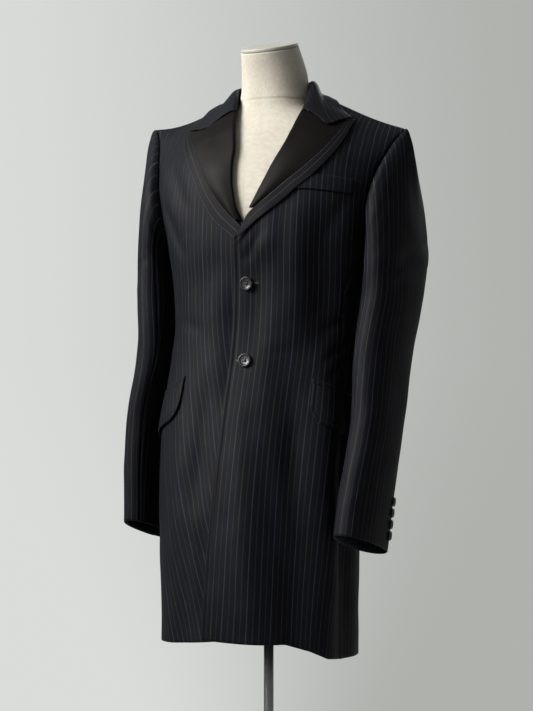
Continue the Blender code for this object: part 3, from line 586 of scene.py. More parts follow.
def make_wool(name, ground, every=STRIPE_EVERY, faint_gain=FAINT_GAIN):
    wool, tree, shader = new_finish(name)
    cut = node(tree, "UVMap", uv_map="cut")
    split = node(tree, "SeparateXYZ", {0: cut})
    across, along = split.outputs[0], split.outputs[1]

    # distance to the nearest yarn of each kind
    to_any = node(tree, "Math", {0: across, 1: every / 2}, operation="PINGPONG")
    to_grey = node(tree, "Math", {0: across, 1: every}, operation="PINGPONG")
    is_tan = node(tree, "Math", {0: to_grey, 1: every / 2}, operation="GREATER_THAN")
    near, far = STRIPE_HALF * 0.4, STRIPE_HALF * 1.7
    main = node(tree, "MapRange", {0: to_any, 1: near, 2: far, 3: 1.0, 4: 0.0}, **SMOOTH)
    faint = node(tree, "MapRange", {0: to_any, 1: every / 2 - far, 2: every / 2 - near, 4: faint_gain}, **SMOOTH)
    both = node(tree, "Math", {0: main, 1: faint}, operation="ADD")

    # the weave breaks each yarn into short floats
    floats = ribs(tree, along, FLOAT_EVERY)
    floats = node(tree, "Math", {0: floats, 1: 0.22, 2: 0.78}, operation="MULTIPLY_ADD")
    patchy = node(tree, "TexNoise", {"Vector": cut, "Scale": 55.0, "Detail": 2.0})
    patchy = node(tree, "MapRange", {0: patchy, 1: 0.25, 2: 0.75, 3: 0.70, 4: 1.15})
    yarn = node(tree, "Math", {0: both, 1: floats}, operation="MULTIPLY")
    yarn = node(tree, "Math", {0: yarn, 1: patchy}, operation="MULTIPLY")

    # ground colour: dark navy and black fibres mixed, a little uneven
    fibre = node(tree, "TexNoise", {"Vector": cut, "Scale": 900.0, "Detail": 2.0})
    cloud = node(tree, "TexNoise", {"Vector": cut, "Scale": 14.0, "Detail": 3.0})
    mottle = node(tree, "Math", {0: fibre, 1: cloud}, operation="ADD")
    mottle = node(tree, "MapRange", {0: mottle, 1: 0.7, 2: 1.3})
    base = node(tree, "Mix", {0: mottle, 6: linear(ground[0]), 7: linear(ground[1])}, **COLOURS)
    stripe = node(tree, "Mix", {0: is_tan, 6: linear("#2e3037"), 7: linear("#2e2c28")}, **COLOURS)
    colour = node(tree, "Mix", {0: yarn, 6: base.outputs[2], 7: stripe.outputs[2]}, **COLOURS)

    # twill ribs as relief
    slope = node(tree, "Math", {0: across, 1: along}, operation="SUBTRACT")
    twill = ribs(tree, slope, TWILL_EVERY)
    height = node(tree, "Math", {0: twill, 1: 0.5, 2: fibre}, operation="MULTIPLY_ADD")
    relief = node(tree, "Bump", {"Strength": 0.16, "Distance": 0.0004, "Height": height})
    feed(shader, {
        "Base Color": colour.outputs[2], "Normal": relief, "Roughness": 0.58, "IOR": 1.45,
        "Specular IOR Level": 0.075, "Sheen Weight": 0.012, "Sheen Roughness": 0.45,
        "Sheen Tint": linear("#b9bfd2"),
    })
    return wool


WOOL = make_wool("worsted_wool_twill", ("#07080d", "#0c0e13"))
print("stripe repeat", STRIPE_EVERY * 2000, "mm with both colours")

# %% [markdown]
# ## Body panels
# Six panels go round the body: two fronts, two sides under the arms and two backs. On the wearer's
# right the stripes lean in under the other front, because that front is cut straight and the skirt
# flares. The table gives that lean, in metres, at four distances from the centre front.

# %% Edges and seams
FRONT_EDGE = [
    (0.56, -0.031, 0.036), (0.66, -0.029, 0.034), (0.80, -0.024, 0.030), (0.95, -0.018, 0.027),
    (1.05, -0.012, 0.029), (1.14, -0.0095, 0.031), (1.206, -0.0075, 0.031),
]
NECK_EDGE = [
    (1.206, -0.0075, 0.031), (1.225, 0.008, 0.012), (1.250, 0.024, -0.005), (1.280, 0.035, -0.019),
    (1.320, 0.054, -0.027), (1.360, 0.071, -0.031), (1.400, 0.081, -0.045), (1.425, 0.083, -0.061),
    (1.440, 0.084, -0.073),
]
HEM = {
    1: [(-0.06, 0.602), (0.00, 0.600), (0.10, 0.598), (0.14, 0.586), (0.17, 0.573), (0.21, 0.567),
        (0.34, 0.562), (0.50, 0.553)],
    -1: [(-0.06, 0.609), (-0.02, 0.609), (0.01, 0.600), (0.10, 0.588), (0.20, 0.577), (0.34, 0.562),
         (0.50, 0.553)],
}
SEAM_FRONT = [(0.55, 0.205), (0.75, 0.200), (0.95, 0.182), (1.07, 0.164), (1.15, 0.171), (1.215, 0.212)]
SEAM_BACK = [(0.55, 0.320), (0.75, 0.318), (0.95, 0.298), (1.07, 0.266), (1.15, 0.277), (1.215, 0.304)]
ARM_FRONT = [
    (1.215, 0.212), (1.232, 0.203), (1.255, 0.199), (1.300, 0.2005), (1.350, 0.2035),
    (1.390, 0.207), (1.420, 0.2125), (1.440, 0.2195),
]
ARM_BACK = [
    (1.215, 0.304), (1.232, 0.316), (1.255, 0.322), (1.300, 0.322), (1.350, 0.307),
    (1.390, 0.277), (1.420, 0.246), (1.440, 0.2205),
]
PIT_DIP = 0.014
SIDE_LEAN = 0.50
BACK_NECK = [(1.4155, 0.0), (1.428, 0.050), (1.440, 0.078)]

# level, and how far the stripes have moved inward at 0, 60, 120 and 180 mm from the centre front
LEAN = {
    -1: [
        (0.55, 0.138, 0.133, 0.122, 0.108), (0.65, 0.112, 0.108, 0.097, 0.083), (0.75, 0.085, 0.081, 0.072, 0.058),
        (0.85, 0.061, 0.057, 0.050, 0.038), (0.95, 0.035, 0.033, 0.027, 0.018), (1.00, 0.021, 0.020, 0.016, 0.010),
        (1.05, 0.009, 0.008, 0.006, 0.004), (1.10, 0.002, 0.002, 0.001, 0.000), (1.15, 0.0, 0.0, 0.0, 0.0),
        (1.25, 0.0, 0.0, 0.001, 0.003), (1.44, 0.002, 0.004, 0.010, 0.018),
    ],
    1: [
        (0.55, 0.017, 0.010, 0.014, 0.034), (0.65, 0.011, 0.006, 0.009, 0.023), (0.75, 0.006, 0.003, 0.004, 0.011),
        (0.85, 0.0, 0.0, 0.0, 0.0), (1.00, 0.0, 0.0, 0.0, 0.0), (1.15, 0.0, -0.001, -0.002, -0.002),
        (1.25, -0.002, -0.004, -0.005, -0.004), (1.44, -0.004, -0.006, 0.002, 0.012),
    ],
}
STRIPE_START = {1: 0.0155, -1: 0.0005}


def stripe_place(side, distance, level):
    """Where a place of the front lies across the stripes."""
    rows = smooth(LEAN[side], level)
    at = np.clip(distance / 0.060, 0, 2.999)
    k = at.astype(int)
    part = at - k
    low = np.take_along_axis(rows, k[..., None], -1)[..., 0]
    high = np.take_along_axis(rows, k[..., None] + 1, -1)[..., 0]
    return distance + low * (1 - part) + high * part - STRIPE_START[side]


# %% Panel shapes
HALF_GAP = GAP / 2
SEAM_SINK = 0.0011
SEAM_REACH = 0.0024
STITCH_IN = 0.0065
STITCH_SINK = 0.0011
STITCH_REACH = 0.0016


def sewn(inside):
    """How far cloth sinks, inside metres from a seam."""
    return SEAM_SINK * bell(inside, SEAM_REACH)


def stitched(inside):
    """How far cloth sinks, inside metres from a free edge that is sewn through and pressed."""
    return STITCH_SINK * bell(inside - STITCH_IN, STITCH_REACH)


HEM_ROW = 0.60
HEM_FADES = 0.76
HEM_FADES_OVER = 0.16
SIDE_LEVELS = np.linspace(HEM_ROW, PIT, 150)
FRONT_LEVELS = np.concatenate([SIDE_LEVELS, np.linspace(PIT, 1.38, 42)[1:], np.linspace(1.38, SHOULDER, 34)[1:]])


def hem_level(side, distance, level):
    """Stretches the lowest rows so that the first one lands on the hem's height."""
    bottom = np.interp(distance, *np.array(HEM[side]).T)
    miss = bottom - bare(side, distance, np.full_like(distance, HEM_ROW))[..., 2]
    return level + miss * np.maximum(0.0, HEM_FADES - level) / HEM_FADES_OVER


def inner_distance(side, level):
    """Distance of a front's inner edge: the front edge below the break and the neckline above."""
    column = 1 if side > 0 else 2
    low = np.interp(level, *np.array(FRONT_EDGE)[:, [0, column]].T)
    high = np.interp(level, *np.array(NECK_EDGE)[:, [0, column]].T)
    x = np.where(level > BREAK, high, low)
    guess = side * x
    for _ in range(8):
        guess = guess + side * (x - bare(side, guess, level)[..., 0])
    return guess


def armed(seam, arm, level):
    return np.where(level <= PIT, smooth(seam, level), smooth(arm, level))


def spread(count, width, fine=(0.0010, 0.0022, 0.0038, 0.0052, 0.0065, 0.0078)):
    """Shares from 0 to 1 across a panel, with extra ones close to both seams."""
    edge = np.array((0.0,) + fine) / width
    return np.concatenate([edge, np.linspace(edge[-1], 1 - edge[-1], count)[1:-1], 1 - edge[::-1]])


def panel_grid(side, levels, first, last, count, lift=None, dip=None):
    """Points, normals, distances and levels of a panel. Only a front, which has a lift, has a free edge."""
    a = first(levels)[:, None]
    b = last(levels)[:, None]
    v = spread(count, float(np.mean(b - a)))[None, :]
    distance = a + (b - a) * v
    level = np.broadcast_to(levels[:, None], distance.shape)
    height = hem_level(side, distance, level)
    if dip is not None:
        height = height - dip(level, np.broadcast_to(v, distance.shape))
    if lift is None:
        out = -sewn(distance - a) - sewn(b - distance)
    else:
        out = lift(side, distance, height) - sewn(b - distance)
        out = out - stitched(distance - a) * (height < BREAK)
    points, normals = body(side, distance, height, out)
    return points, normals, distance, height


def make_body(side):
    points, normals, distance, height = panel_grid(
        side, FRONT_LEVELS, lambda t: inner_distance(side, t),
        lambda t: armed(SEAM_FRONT, ARM_FRONT, t) - HALF_GAP, 50, lift=lap)
    cut = np.stack([stripe_place(side, distance, height), height], -1)
    cloth_piece("front_" + HAND[side], points, normals, WOOL, cut)

    points, normals, distance, height = panel_grid(
        side, SIDE_LEVELS, lambda t: smooth(SEAM_FRONT, t) + HALF_GAP,
        lambda t: smooth(SEAM_BACK, t) - HALF_GAP, 26,
        dip=lambda t, v: PIT_DIP * np.sin(v * math.pi) * np.maximum(0.0, (t - 1.12) / (PIT - 1.12)))
    cut = np.stack([distance - 0.25 + SIDE_LEAN * np.clip(1.26 - height, 0.0, 0.21), height], -1)
    cloth_piece("side_" + HAND[side], points, normals, WOOL, cut)

    points, normals, distance, height = panel_grid(
        side, FRONT_LEVELS, lambda t: armed(SEAM_BACK, ARM_BACK, t) + HALF_GAP,
        lambda t: half_round(side, t) - HALF_GAP - np.interp(t, *np.array(BACK_NECK).T), 46)
    from_back = half_round(side, np.clip(height, 0.6, 1.40)) - distance
    cut = np.stack([from_back - STRIPE_EVERY / 2, height], -1)
    cloth_piece("back_" + HAND[side], points, normals, WOOL, cut)


for side in HAND:
    make_body(side)

# %% [markdown]
# ## Sleeves
# A tailored sleeve is two pieces, a top sleeve and an under sleeve, sewn together and into the
# armhole with a little fullness, so that it rises in a small roll at the shoulder. It bends forward
# at the elbow. Each sleeve is a set of ovals from the cuff to the upper arm, joined to the armhole by
# a curve that leaves the shoulder sideways and comes down along the arm.

# %% Sleeve shape
# height, x and y of the middle, half width, half depth, turn of the front towards the body (degrees)
SLEEVE = {
    1: np.array([
        [0.745, 0.1885, -0.078, 0.030, 0.060, 8.0],
        [0.830, 0.1920, -0.056, 0.031, 0.062, 8.0],
        [0.920, 0.1970, -0.030, 0.031, 0.063, 6.0],
        [1.056, 0.1985, 0.003, 0.035, 0.073, 6.0],
        [1.120, 0.2050, 0.018, 0.035, 0.080, 5.0],
        [1.165, 0.2080, 0.024, 0.034, 0.086, 5.0],
    ]),
    -1: np.array([
        [0.745, 0.2070, -0.022, 0.030, 0.060, 0.0],
        [0.830, 0.2100, -0.014, 0.0305, 0.064, 1.0],
        [0.920, 0.2085, -0.006, 0.0305, 0.068, 1.0],
        [1.056, 0.1925, 0.006, 0.034, 0.075, 6.0],
        [1.120, 0.1970, 0.018, 0.035, 0.080, 5.0],
        [1.165, 0.2005, 0.024, 0.033, 0.080, 4.0],
    ]),
}
SLEEVE_GIRTH = 0.36
CUFF = 0.745
CUFF_SLANT = 0.33
SLEEVE_TOP = 1.165
SLEEVE_FRONT_SEAM = 115.0
SLEEVE_BACK_SEAM = -55.0
HEAD_FULLNESS = 0.08
HEAD_BASE = {1: 0.030, -1: 0.050}
HEAD_REACH = {1: 0.010, -1: 0.020}


def armhole(side, turn):
    """Points of the armhole seam: turn 0 is the shoulder, 90 the front, 180 the armpit."""
    turn = turn % 360.0
    away = np.minimum(turn, 360.0 - turn) / 150.0
    level = PIT + (SHOULDER - PIT) * (0.5 + 0.5 * np.cos(math.pi * np.minimum(away, 1.0)))
    distance = np.where(turn <= 150.0, smooth(ARM_FRONT, level), smooth(ARM_BACK, level))
    v = np.clip((turn - 150.0) / 60.0, 0, 1)
    under = (turn > 150.0) & (turn < 210.0)
    front, back = smooth(ARM_FRONT, PIT), smooth(ARM_BACK, PIT)
    distance = np.where(under, front + (back - front) * v, distance)
    level = np.where(under, PIT - PIT_DIP * np.sin(v * math.pi), level)
    return body(side, distance, level, creased=False)[0]


def sleeve_ring(side, height, turn):
    mid_x, mid_y, half_w, half_d, twist = np.moveaxis(smooth(SLEEVE[side], height), -1, 0)
    angle = np.radians(turn)
    out = half_w * power(np.cos(angle), 2.25)
    fore = half_d * power(np.sin(angle), 2.25)
    c, s = np.cos(np.radians(twist)), np.sin(np.radians(twist))
    x = out * c - fore * s
    y = -fore * c - out * s
    slant = CUFF_SLANT * np.maximum(0.0, (0.90 - height) / 0.155) ** 1.5
    return np.stack([side * (mid_x + x), mid_y + y, height - slant * y], -1)


def sleeve(side, turn, down):
    """Points of the sleeve: down from 0 at the armhole to 1 at the upper arm to 2 at the cuff."""
    turn, down = np.broadcast_arrays(np.asarray(turn, float), np.asarray(down, float))
    angle = np.radians(turn)
    top = 0.5 + 0.5 * np.cos(angle)
    behind = np.sin(angle) < 0
    start = armhole(side, turn)
    start[..., 0] += side * (0.0008 + 0.0010 * behind * np.maximum(0.0, np.cos(angle)))
    end = sleeve_ring(side, np.full(turn.shape, SLEEVE_TOP), turn)
    reach = np.linalg.norm(end - start, axis=-1)
    pull = (HEAD_BASE[side] + HEAD_REACH[side] * top) * (0.35 + reach / 0.30)
    forward = -HEAD_FULLNESS * np.sin(angle) * np.minimum(1.0, 2 * top)
    leave = np.stack([side * pull, forward, 0.08 * top * pull], -1)
    onward = unit(sleeve_ring(side, np.full(turn.shape, SLEEVE_TOP - 0.01), turn) - end)
    arrive = onward * (reach * (0.8 + 0.5 * top))[..., None]
    u = (GAP / 0.06 + np.clip(down, 0, 1) * (1 - GAP / 0.06))[..., None]
    upper = (1 + 2 * u) * (1 - u) ** 2 * start + u * (1 - u) ** 2 * leave
    upper += u * u * (3 - 2 * u) * end + u * u * (u - 1) * arrive
    lower = sleeve_ring(side, SLEEVE_TOP + (CUFF - SLEEVE_TOP) * (np.clip(down, 1, 2) - 1.0), turn)
    return np.where((down >= 1.0)[..., None], lower, upper)


# %% Sleeve creases
# side, start and end (metres round from the shoulder line towards the front, metres down from the
# armhole), bow, half width, height
SLEEVE_CREASES = [
    (1, -0.060, 0.205, 0.050, 0.275, 0.006, 0.011, -0.0024),
    (1, -0.050, 0.262, 0.060, 0.305, 0.006, 0.010, -0.0020),
    (1, 0.080, 0.235, 0.010, 0.300, 0.004, 0.009, -0.0018),
    (1, 0.020, 0.090, -0.030, 0.240, 0.006, 0.016, -0.0018),
    (1, -0.020, 0.330, 0.030, 0.600, 0.004, 0.026, -0.0008),
    (1, -0.100, 0.240, -0.030, 0.290, 0.006, 0.010, -0.0024),
    (1, -0.110, 0.300, -0.040, 0.330, 0.004, 0.010, -0.0018),
    (-1, -0.050, 0.215, 0.055, 0.262, 0.006, 0.011, -0.0018),
    (-1, -0.040, 0.280, 0.050, 0.312, 0.005, 0.011, -0.0016),
    (-1, 0.100, 0.200, 0.030, 0.292, 0.005, 0.010, -0.0016),
    (-1, 0.026, 0.080, 0.006, 0.230, 0.005, 0.020, -0.0010),
    (-1, 0.040, 0.330, 0.022, 0.590, 0.004, 0.026, -0.0005),
    (-1, -0.100, 0.230, -0.030, 0.280, 0.006, 0.010, -0.0022),
]


def sleeve_points(side, turn, down, out=0.0, creased=True):
    """Sleeve points with folds, their normals and their place on the flat cut."""
    base = sleeve(side, turn, down)
    e = 0.01
    around = sleeve(side, turn + 2, down) - sleeve(side, turn - 2, down)
    along = sleeve(side, turn, np.minimum(down + e, 2.0)) - sleeve(side, turn, np.maximum(down - e, 0.0))
    normal = unit(np.cross(around, along) * side)
    a = turn / 360.0 * SLEEVE_GIRTH
    b = np.where(down < 1, down * 0.26, 0.26 + (down - 1) * (SLEEVE_TOP - CUFF))
    move = np.asarray(out, float) + np.zeros(base.shape[:-1])
    if creased:
        calm = smoothstep(down / 0.25)
        move = move + (crease_rows(SLEEVE_CREASES, side, a, b) + unevenness(a, b, 3 * side)) * calm
    return base + normal * move[..., None], normal, a, b


DOWNS = np.concatenate([np.linspace(0, 0.06, 7), np.linspace(0.06, 1, 58)[1:], np.linspace(1, 2, 96)[1:]])


def sleeve_piece(node_name, side, first, last, count, middle):
    pad = HALF_GAP / SLEEVE_GIRTH * 360.0
    width = (last - first) / 360.0 * SLEEVE_GIRTH
    turns = first + pad + (last - first - 2 * pad) * spread(count, width)
    turn, down = np.meshgrid(turns, DOWNS)
    seam = (turn - first) / 360.0 * SLEEVE_GIRTH
    other = (last - turn) / 360.0 * SLEEVE_GIRTH
    out = -SEAM_SINK * (bell(seam, SEAM_REACH) + bell(other, SEAM_REACH))
    points, normals, a, b = sleeve_points(side, turn, down, out)
    walked = walk_along(points, 1)
    walked[DOWNS < 1.0] = walked[DOWNS >= 1.0][0]
    start = np.array([np.interp(middle, turns, row) for row in walked])[:, None]
    cut = np.stack([walked - start + STRIPE_EVERY / 2, b], -1)
    cloth_piece(node_name, points, normals, WOOL, cut)


for side, hand in HAND.items():
    sleeve_piece("sleeve_top_" + hand, side, SLEEVE_BACK_SEAM, SLEEVE_FRONT_SEAM, 44, 30.0)
    sleeve_piece("sleeve_under_" + hand, side, SLEEVE_FRONT_SEAM, SLEEVE_BACK_SEAM + 360.0, 44, 200.0)

# %% [markdown]
# ## Satin
# The facing is silk satin: long floats of shiny thread lie side by side, so light runs along them.
# The photograph shows a brown-black with a soft, wide highlight. A low relief of fine lines along the
# lapel and an uneven gloss stand for the floats.


# %% Satin
def make_satin():
    satin, tree, shader = new_finish("silk_satin")
    cut = node(tree, "UVMap", uv_map="cut")
    stretched = node(tree, "Mapping", {0: cut, 3: (3.0, 0.25, 1.0)})
    floats = node(tree, "TexNoise", {"Vector": stretched, "Scale": 700.0, "Detail": 2.0})
    cloud = node(tree, "TexNoise", {"Vector": cut, "Scale": 18.0, "Detail": 2.0})
    colour = node(tree, "Mix", {0: floats, 6: linear("#0c0b0a"), 7: linear("#12100e")}, **COLOURS)
    gloss = node(tree, "MapRange", {0: cloud, 1: 0.3, 2: 0.7, 3: 0.46, 4: 0.56})
    relief = node(tree, "Bump", {"Strength": 0.10, "Distance": 0.0002, "Height": floats})
    feed(shader, {
        "Base Color": colour.outputs[2], "Normal": relief, "Roughness": gloss, "IOR": 1.54,
        "Specular IOR Level": 0.036, "Anisotropic": 0.3, "Sheen Weight": 0.02, "Sheen Roughness": 0.35,
    })
    return satin


SATIN = make_satin()
EDGING = make_wool("worsted_wool_edging", ("#07080b", "#0c0d11"), every=0.0080, faint_gain=0.0)

# %% [markdown]
# ## Lapels
# A lapel is the front's own cloth turned back along the roll line. It isn't pressed flat at the roll:
# it rolls over in a soft curve a few millimetres across, and lies flatter towards its edge. The row
# table follows the roll, the line where the satin ends, and the outer edge, from the break upwards.

# %% Lapel rows
# roll x z, satin line x z, outer edge x z, and how far the roll stands off the chest
LAPEL = {
    1: [
        [0.0000, 1.2120, 0.0005, 1.2110, -0.0045, 1.2045, 0.0060],
        [0.0093, 1.2280, 0.0098, 1.2275, 0.0133, 1.2196, 0.0065],
        [0.0190, 1.2500, 0.0201, 1.2490, 0.0346, 1.2387, 0.0070],
        [0.0310, 1.2773, 0.0520, 1.2763, 0.0666, 1.2645, 0.0072],
        [0.0418, 1.3010, 0.0775, 1.2987, 0.0921, 1.2876, 0.0076],
        [0.0545, 1.3285, 0.0985, 1.3171, 0.1130, 1.3066, 0.0078],
        [0.0652, 1.3520, 0.1195, 1.3403, 0.1326, 1.3323, 0.0078],
        [0.0718, 1.3790, 0.1333, 1.3674, 0.1444, 1.3613, 0.0080],
        [0.0760, 1.4095, 0.1392, 1.3925, 0.1487, 1.3948, 0.0090],
    ],
    -1: [
        [0.0220, 1.2080, 0.0215, 1.2075, 0.0150, 1.1950, 0.0030],
        [0.0068, 1.2260, 0.0063, 1.2255, -0.0018, 1.2074, 0.0045],
        [0.0020, 1.2356, -0.0015, 1.2338, -0.0143, 1.2181, 0.0060],
        [-0.0055, 1.2510, -0.0202, 1.2507, -0.0393, 1.2374, 0.0068],
        [-0.0120, 1.2739, -0.0389, 1.2713, -0.0579, 1.2607, 0.0072],
        [-0.0177, 1.2970, -0.0555, 1.2936, -0.0723, 1.2841, 0.0074],
        [-0.0205, 1.3265, -0.0723, 1.3223, -0.0910, 1.3152, 0.0074],
        [-0.0225, 1.3570, -0.0940, 1.3535, -0.1135, 1.3490, 0.0076],
        [-0.0405, 1.4135, -0.1275, 1.3855, -0.1400, 1.3888, 0.0090],
    ],
}
GORGE_KINK = {1: (0.1195, 1.3840), -1: (-0.0925, 1.3878)}
GORGE_AT = 0.62
EDGE_LIFT = 0.0052
SATIN_FROM = 0.28


def place(side, x, z):
    """Distance and level of the front's place that has this x and z."""
    x, z = np.broadcast_arrays(np.asarray(x, float), np.asarray(z, float))
    distance = side * x
    level = z.copy()
    for _ in range(16):
        here = body(side, distance, level, creased=False)[0]
        distance = distance + side * (x - here[..., 0])
        level = np.minimum(level + 0.9 * (z - here[..., 2]), SHOULDER)
    return distance, level


def lapel_points(side, up, across):
    """Lapel points, up from the break. across is -1 under the roll, 0 roll, 1 satin line, 2 edge."""
    rows = np.array(LAPEL[side])
    row = np.moveaxis(smooth(np.column_stack([np.linspace(0, 1, len(rows)), rows]), up), -1, 0)
    roll, line, edge, lift = row[0:2], row[2:4], row[4:6], row[6]
    width = np.maximum(np.hypot(*(line - roll)), 1e-4)
    share = np.clip(across, 0, 1)
    at = roll + (line - roll) * share
    tent = np.where(share < GORGE_AT, share / GORGE_AT, (1 - share) / (1 - GORGE_AT))
    kink = np.array(GORGE_KINK[side])[:, None, None] - (roll + (line - roll) * GORGE_AT)
    at = at + kink * tent * np.maximum(0.0, (up - 0.80) / 0.20) ** 2
    at = at + (edge - line) * np.clip(across - 1.0, 0, 1)
    out = EDGE_LIFT + (lift - EDGE_LIFT) * (1 - share) ** 1.5
    out = out + 0.0030 * np.sin(share * math.pi) * np.sin(up * math.pi)
    out = out + 0.0007 * np.sin(up * 9.0 + side) * np.sin(share * 2.5 + up * 4.0)
    under = np.clip(-across, 0, 1) * math.pi
    out = out - lift * 0.5 * (1 - np.cos(under)) * 0.92
    at = at + (roll - line) / width * (lift * 0.40 * np.sin(under))
    if side > 0:
        out = out + lap(side, at[0], at[1])
    else:
        out = out - 0.0014 * np.maximum(0.0, 1 - up / 0.22)
    distance, level = place(side, at[0], at[1])
    return body(side, distance, level, out, creased=False)


def lapel(side):
    hand = HAND[side]
    ups = np.linspace(SATIN_FROM, 1, 96)
    across = np.concatenate([np.linspace(-1, 0, 9)[:-1], np.linspace(0, 1, 40)])
    up, share = np.meshgrid(ups, across, indexing="ij")
    width = np.linalg.norm(lapel_points(side, ups[:, None], np.ones((96, 1)))[0]
                           - lapel_points(side, ups[:, None], np.zeros((96, 1)))[0], axis=-1)
    share = np.where(share > 0, share * (1 - GAP / np.maximum(width, 0.003)), share)
    points, normals = lapel_points(side, up, share)
    cut = np.stack([walk_along(points, 1), up * 0.30], -1)
    cloth_piece("lapel_satin_" + hand, points, normals, SATIN, cut)

    ups = np.linspace(0, 1, 130)
    up, share = np.meshgrid(ups, np.linspace(1, 2, 12), indexing="ij")
    points, normals = lapel_points(side, up, share)
    cut = np.stack([(share - 2.0) * 0.016, up * 0.33], -1)
    cloth_piece("lapel_border_" + hand, points, normals, EDGING, cut)


for side in HAND:
    lapel(side)

# %% [markdown]
# ## Collar
# The collar stands up round the neck, folds over and falls on the shoulders. Each station round the
# neck gives the foot of the stand, the fold, a place on the leaf and the leaf's edge. A smooth curve
# through these gives the roll.

# %% Collar
COLLAR = np.array([
    [(0.0750, -0.034, 1.4130), (0.0780, -0.0425, 1.4140), (0.1218, -0.044, 1.3892), (0.1475, -0.010, 1.4020)],
    [(0.0720, -0.013, 1.424), (0.0748, -0.016, 1.4385), (0.105, -0.017, 1.4215), (0.132, -0.001, 1.4125)],
    [(0.0665, 0.014, 1.44), (0.0685, 0.015, 1.4655), (0.086, 0.015, 1.446), (0.107, 0.02, 1.436)],
    [(0.054, 0.043, 1.44), (0.0555, 0.046, 1.4715), (0.068, 0.0585, 1.448), (0.08, 0.072, 1.421)],
    [(0.03, 0.0655, 1.435), (0.031, 0.069, 1.4745), (0.037, 0.0815, 1.448), (0.044, 0.089, 1.4085)],
    [(0.003, 0.0725, 1.433), (0.003, 0.076, 1.4755), (0.003, 0.0885, 1.4485), (0.003, 0.0955, 1.405)],
    [(-0.025, 0.0655, 1.435), (-0.026, 0.069, 1.4745), (-0.032, 0.0815, 1.448), (-0.039, 0.089, 1.4085)],
    [(-0.05, 0.043, 1.44), (-0.051, 0.046, 1.4710), (-0.063, 0.059, 1.449), (-0.076, 0.072, 1.423)],
    [(-0.0595, 0.014, 1.440), (-0.0615, 0.015, 1.4630), (-0.080, 0.015, 1.4450), (-0.103, 0.02, 1.4365)],
    [(-0.0445, -0.0175, 1.430), (-0.0465, -0.0215, 1.4425), (-0.081, -0.022, 1.4260), (-0.118, -0.004, 1.4175)],
    [(-0.0365, -0.040, 1.4165), (-0.0385, -0.045, 1.4195), (-0.0935, -0.045, 1.3930), (-0.1325, -0.0205, 1.3960)],
])


def through(points, count):
    """A smooth line of count points through rows of points, by their distance along it."""
    walked = walk_along(points)
    return smooth(np.column_stack([walked, points]), np.linspace(0, walked[-1], count))


def make_collar():
    stations = np.linspace(0, len(COLLAR) - 1, 150)
    number = np.arange(len(COLLAR))
    foot, fold, leaf, edge = [smooth(np.column_stack([number, COLLAR[:, k]]), stations) for k in range(4)]
    rows = []
    for a, b, c, d in zip(foot, fold, leaf, edge):
        away = (c - b) / np.linalg.norm(c - b)
        above = np.array([0.0, 0.0, 1.0]) - away[2] * away
        above = above / np.linalg.norm(above)
        line = [d, (c + d) / 2 + (0, 0, 0.0008), c, b * 0.45 + c * 0.55 + above * 0.0026,
                b + away * 0.0085 + above * 0.0036, b + away * 0.0032 + above * 0.0027, b, a]
        rows.append(through(np.array(line), 44))
    grid = np.array(rows)
    walked = walk_along(grid, 1)
    along = walk_along(grid[:, 20])[:, None]
    cut = np.stack([walked - 0.0015, np.broadcast_to(along, walked.shape)], -1)
    facing = grid - np.array([0.0, 0.01, 1.36])
    cloth_piece("collar", grid, facing, WOOL, cut)


make_collar()

# %% [markdown]
# ## Pockets
# Each hip pocket is a slanted slot with a narrow jet above it and a flap that hangs out of it. The
# flap's lower front corner is rounded. The chest pocket is a welt: a strip that stands up in front
# of its slot, sewn down at both ends.

# %% Pockets
FLAP_LONG = 0.142
FLAP_DEEP = 0.054
FLAP_ROUND = 0.022
FLAP_FALL = {1: 0.36, -1: 0.40}
FLAP_START = {1: (0.1142, 0.9880), -1: (-0.0993, 0.9910)}
JET_TALL = 0.0062
JET_PAST = 0.0006
WELT = [(0.086, 1.2845), (0.112, 1.2835), (0.140, 1.2800), (0.168, 1.2760)]
WELT_TALL = 0.022


def pocket_cut(side, distance, level):
    return np.stack([stripe_place(side, distance, level), level], -1)


def pocket(side):
    hand = HAND[side]
    start, top = [float(v) for v in place(side, *FLAP_START[side])]
    down, a = np.meshgrid(spread(30, FLAP_DEEP), FLAP_LONG * spread(60, FLAP_LONG), indexing="ij")
    corner = FLAP_ROUND - np.sqrt(FLAP_ROUND ** 2 - np.clip(FLAP_ROUND - a, 0, FLAP_ROUND) ** 2)
    depth = 0.0005 + (FLAP_DEEP - corner - 0.0005) * down
    stand = 0.0030 + 0.0026 * np.sqrt(down) + 0.0005 * np.sin(a * 40 + side) * down
    inside = np.minimum(np.minimum(a, FLAP_LONG - a), (FLAP_DEEP - corner) * (1 - down))
    stand = stand - 0.8 * stitched(inside) - 0.0010 * bell(inside, 0.0016)
    distance = start + a
    level = top - FLAP_FALL[side] * a - depth
    points, normals = body(side, distance, level, stand)
    cloth_piece("flap_" + hand, points, normals, WOOL, pocket_cut(side, distance, level),
                thick=0.0018)

    long = np.linspace(-JET_PAST, FLAP_LONG + JET_PAST, 62)
    rise, a = np.meshgrid(np.linspace(GAP, JET_TALL, 7), long, indexing="ij")
    distance = start + a
    level = top - FLAP_FALL[side] * a + rise
    points, normals = body(side, distance, level, 0.0026)
    cloth_piece("jet_" + hand, points, normals, WOOL, pocket_cut(side, distance, level),
                thick=0.0018)


for side in HAND:
    pocket(side)

up, x = np.meshgrid(np.linspace(0, 1, 14), np.linspace(0.088, 0.168, 46), indexing="ij")
distance, level = place(1, x + 0.001 * up, np.interp(x, *np.array(WELT).T) + WELT_TALL * up)
points, normals = body(1, distance, level, 0.0026)
cloth_piece("welt_pocket", points, normals, WOOL, pocket_cut(1, distance, level),
            thick=0.0016)

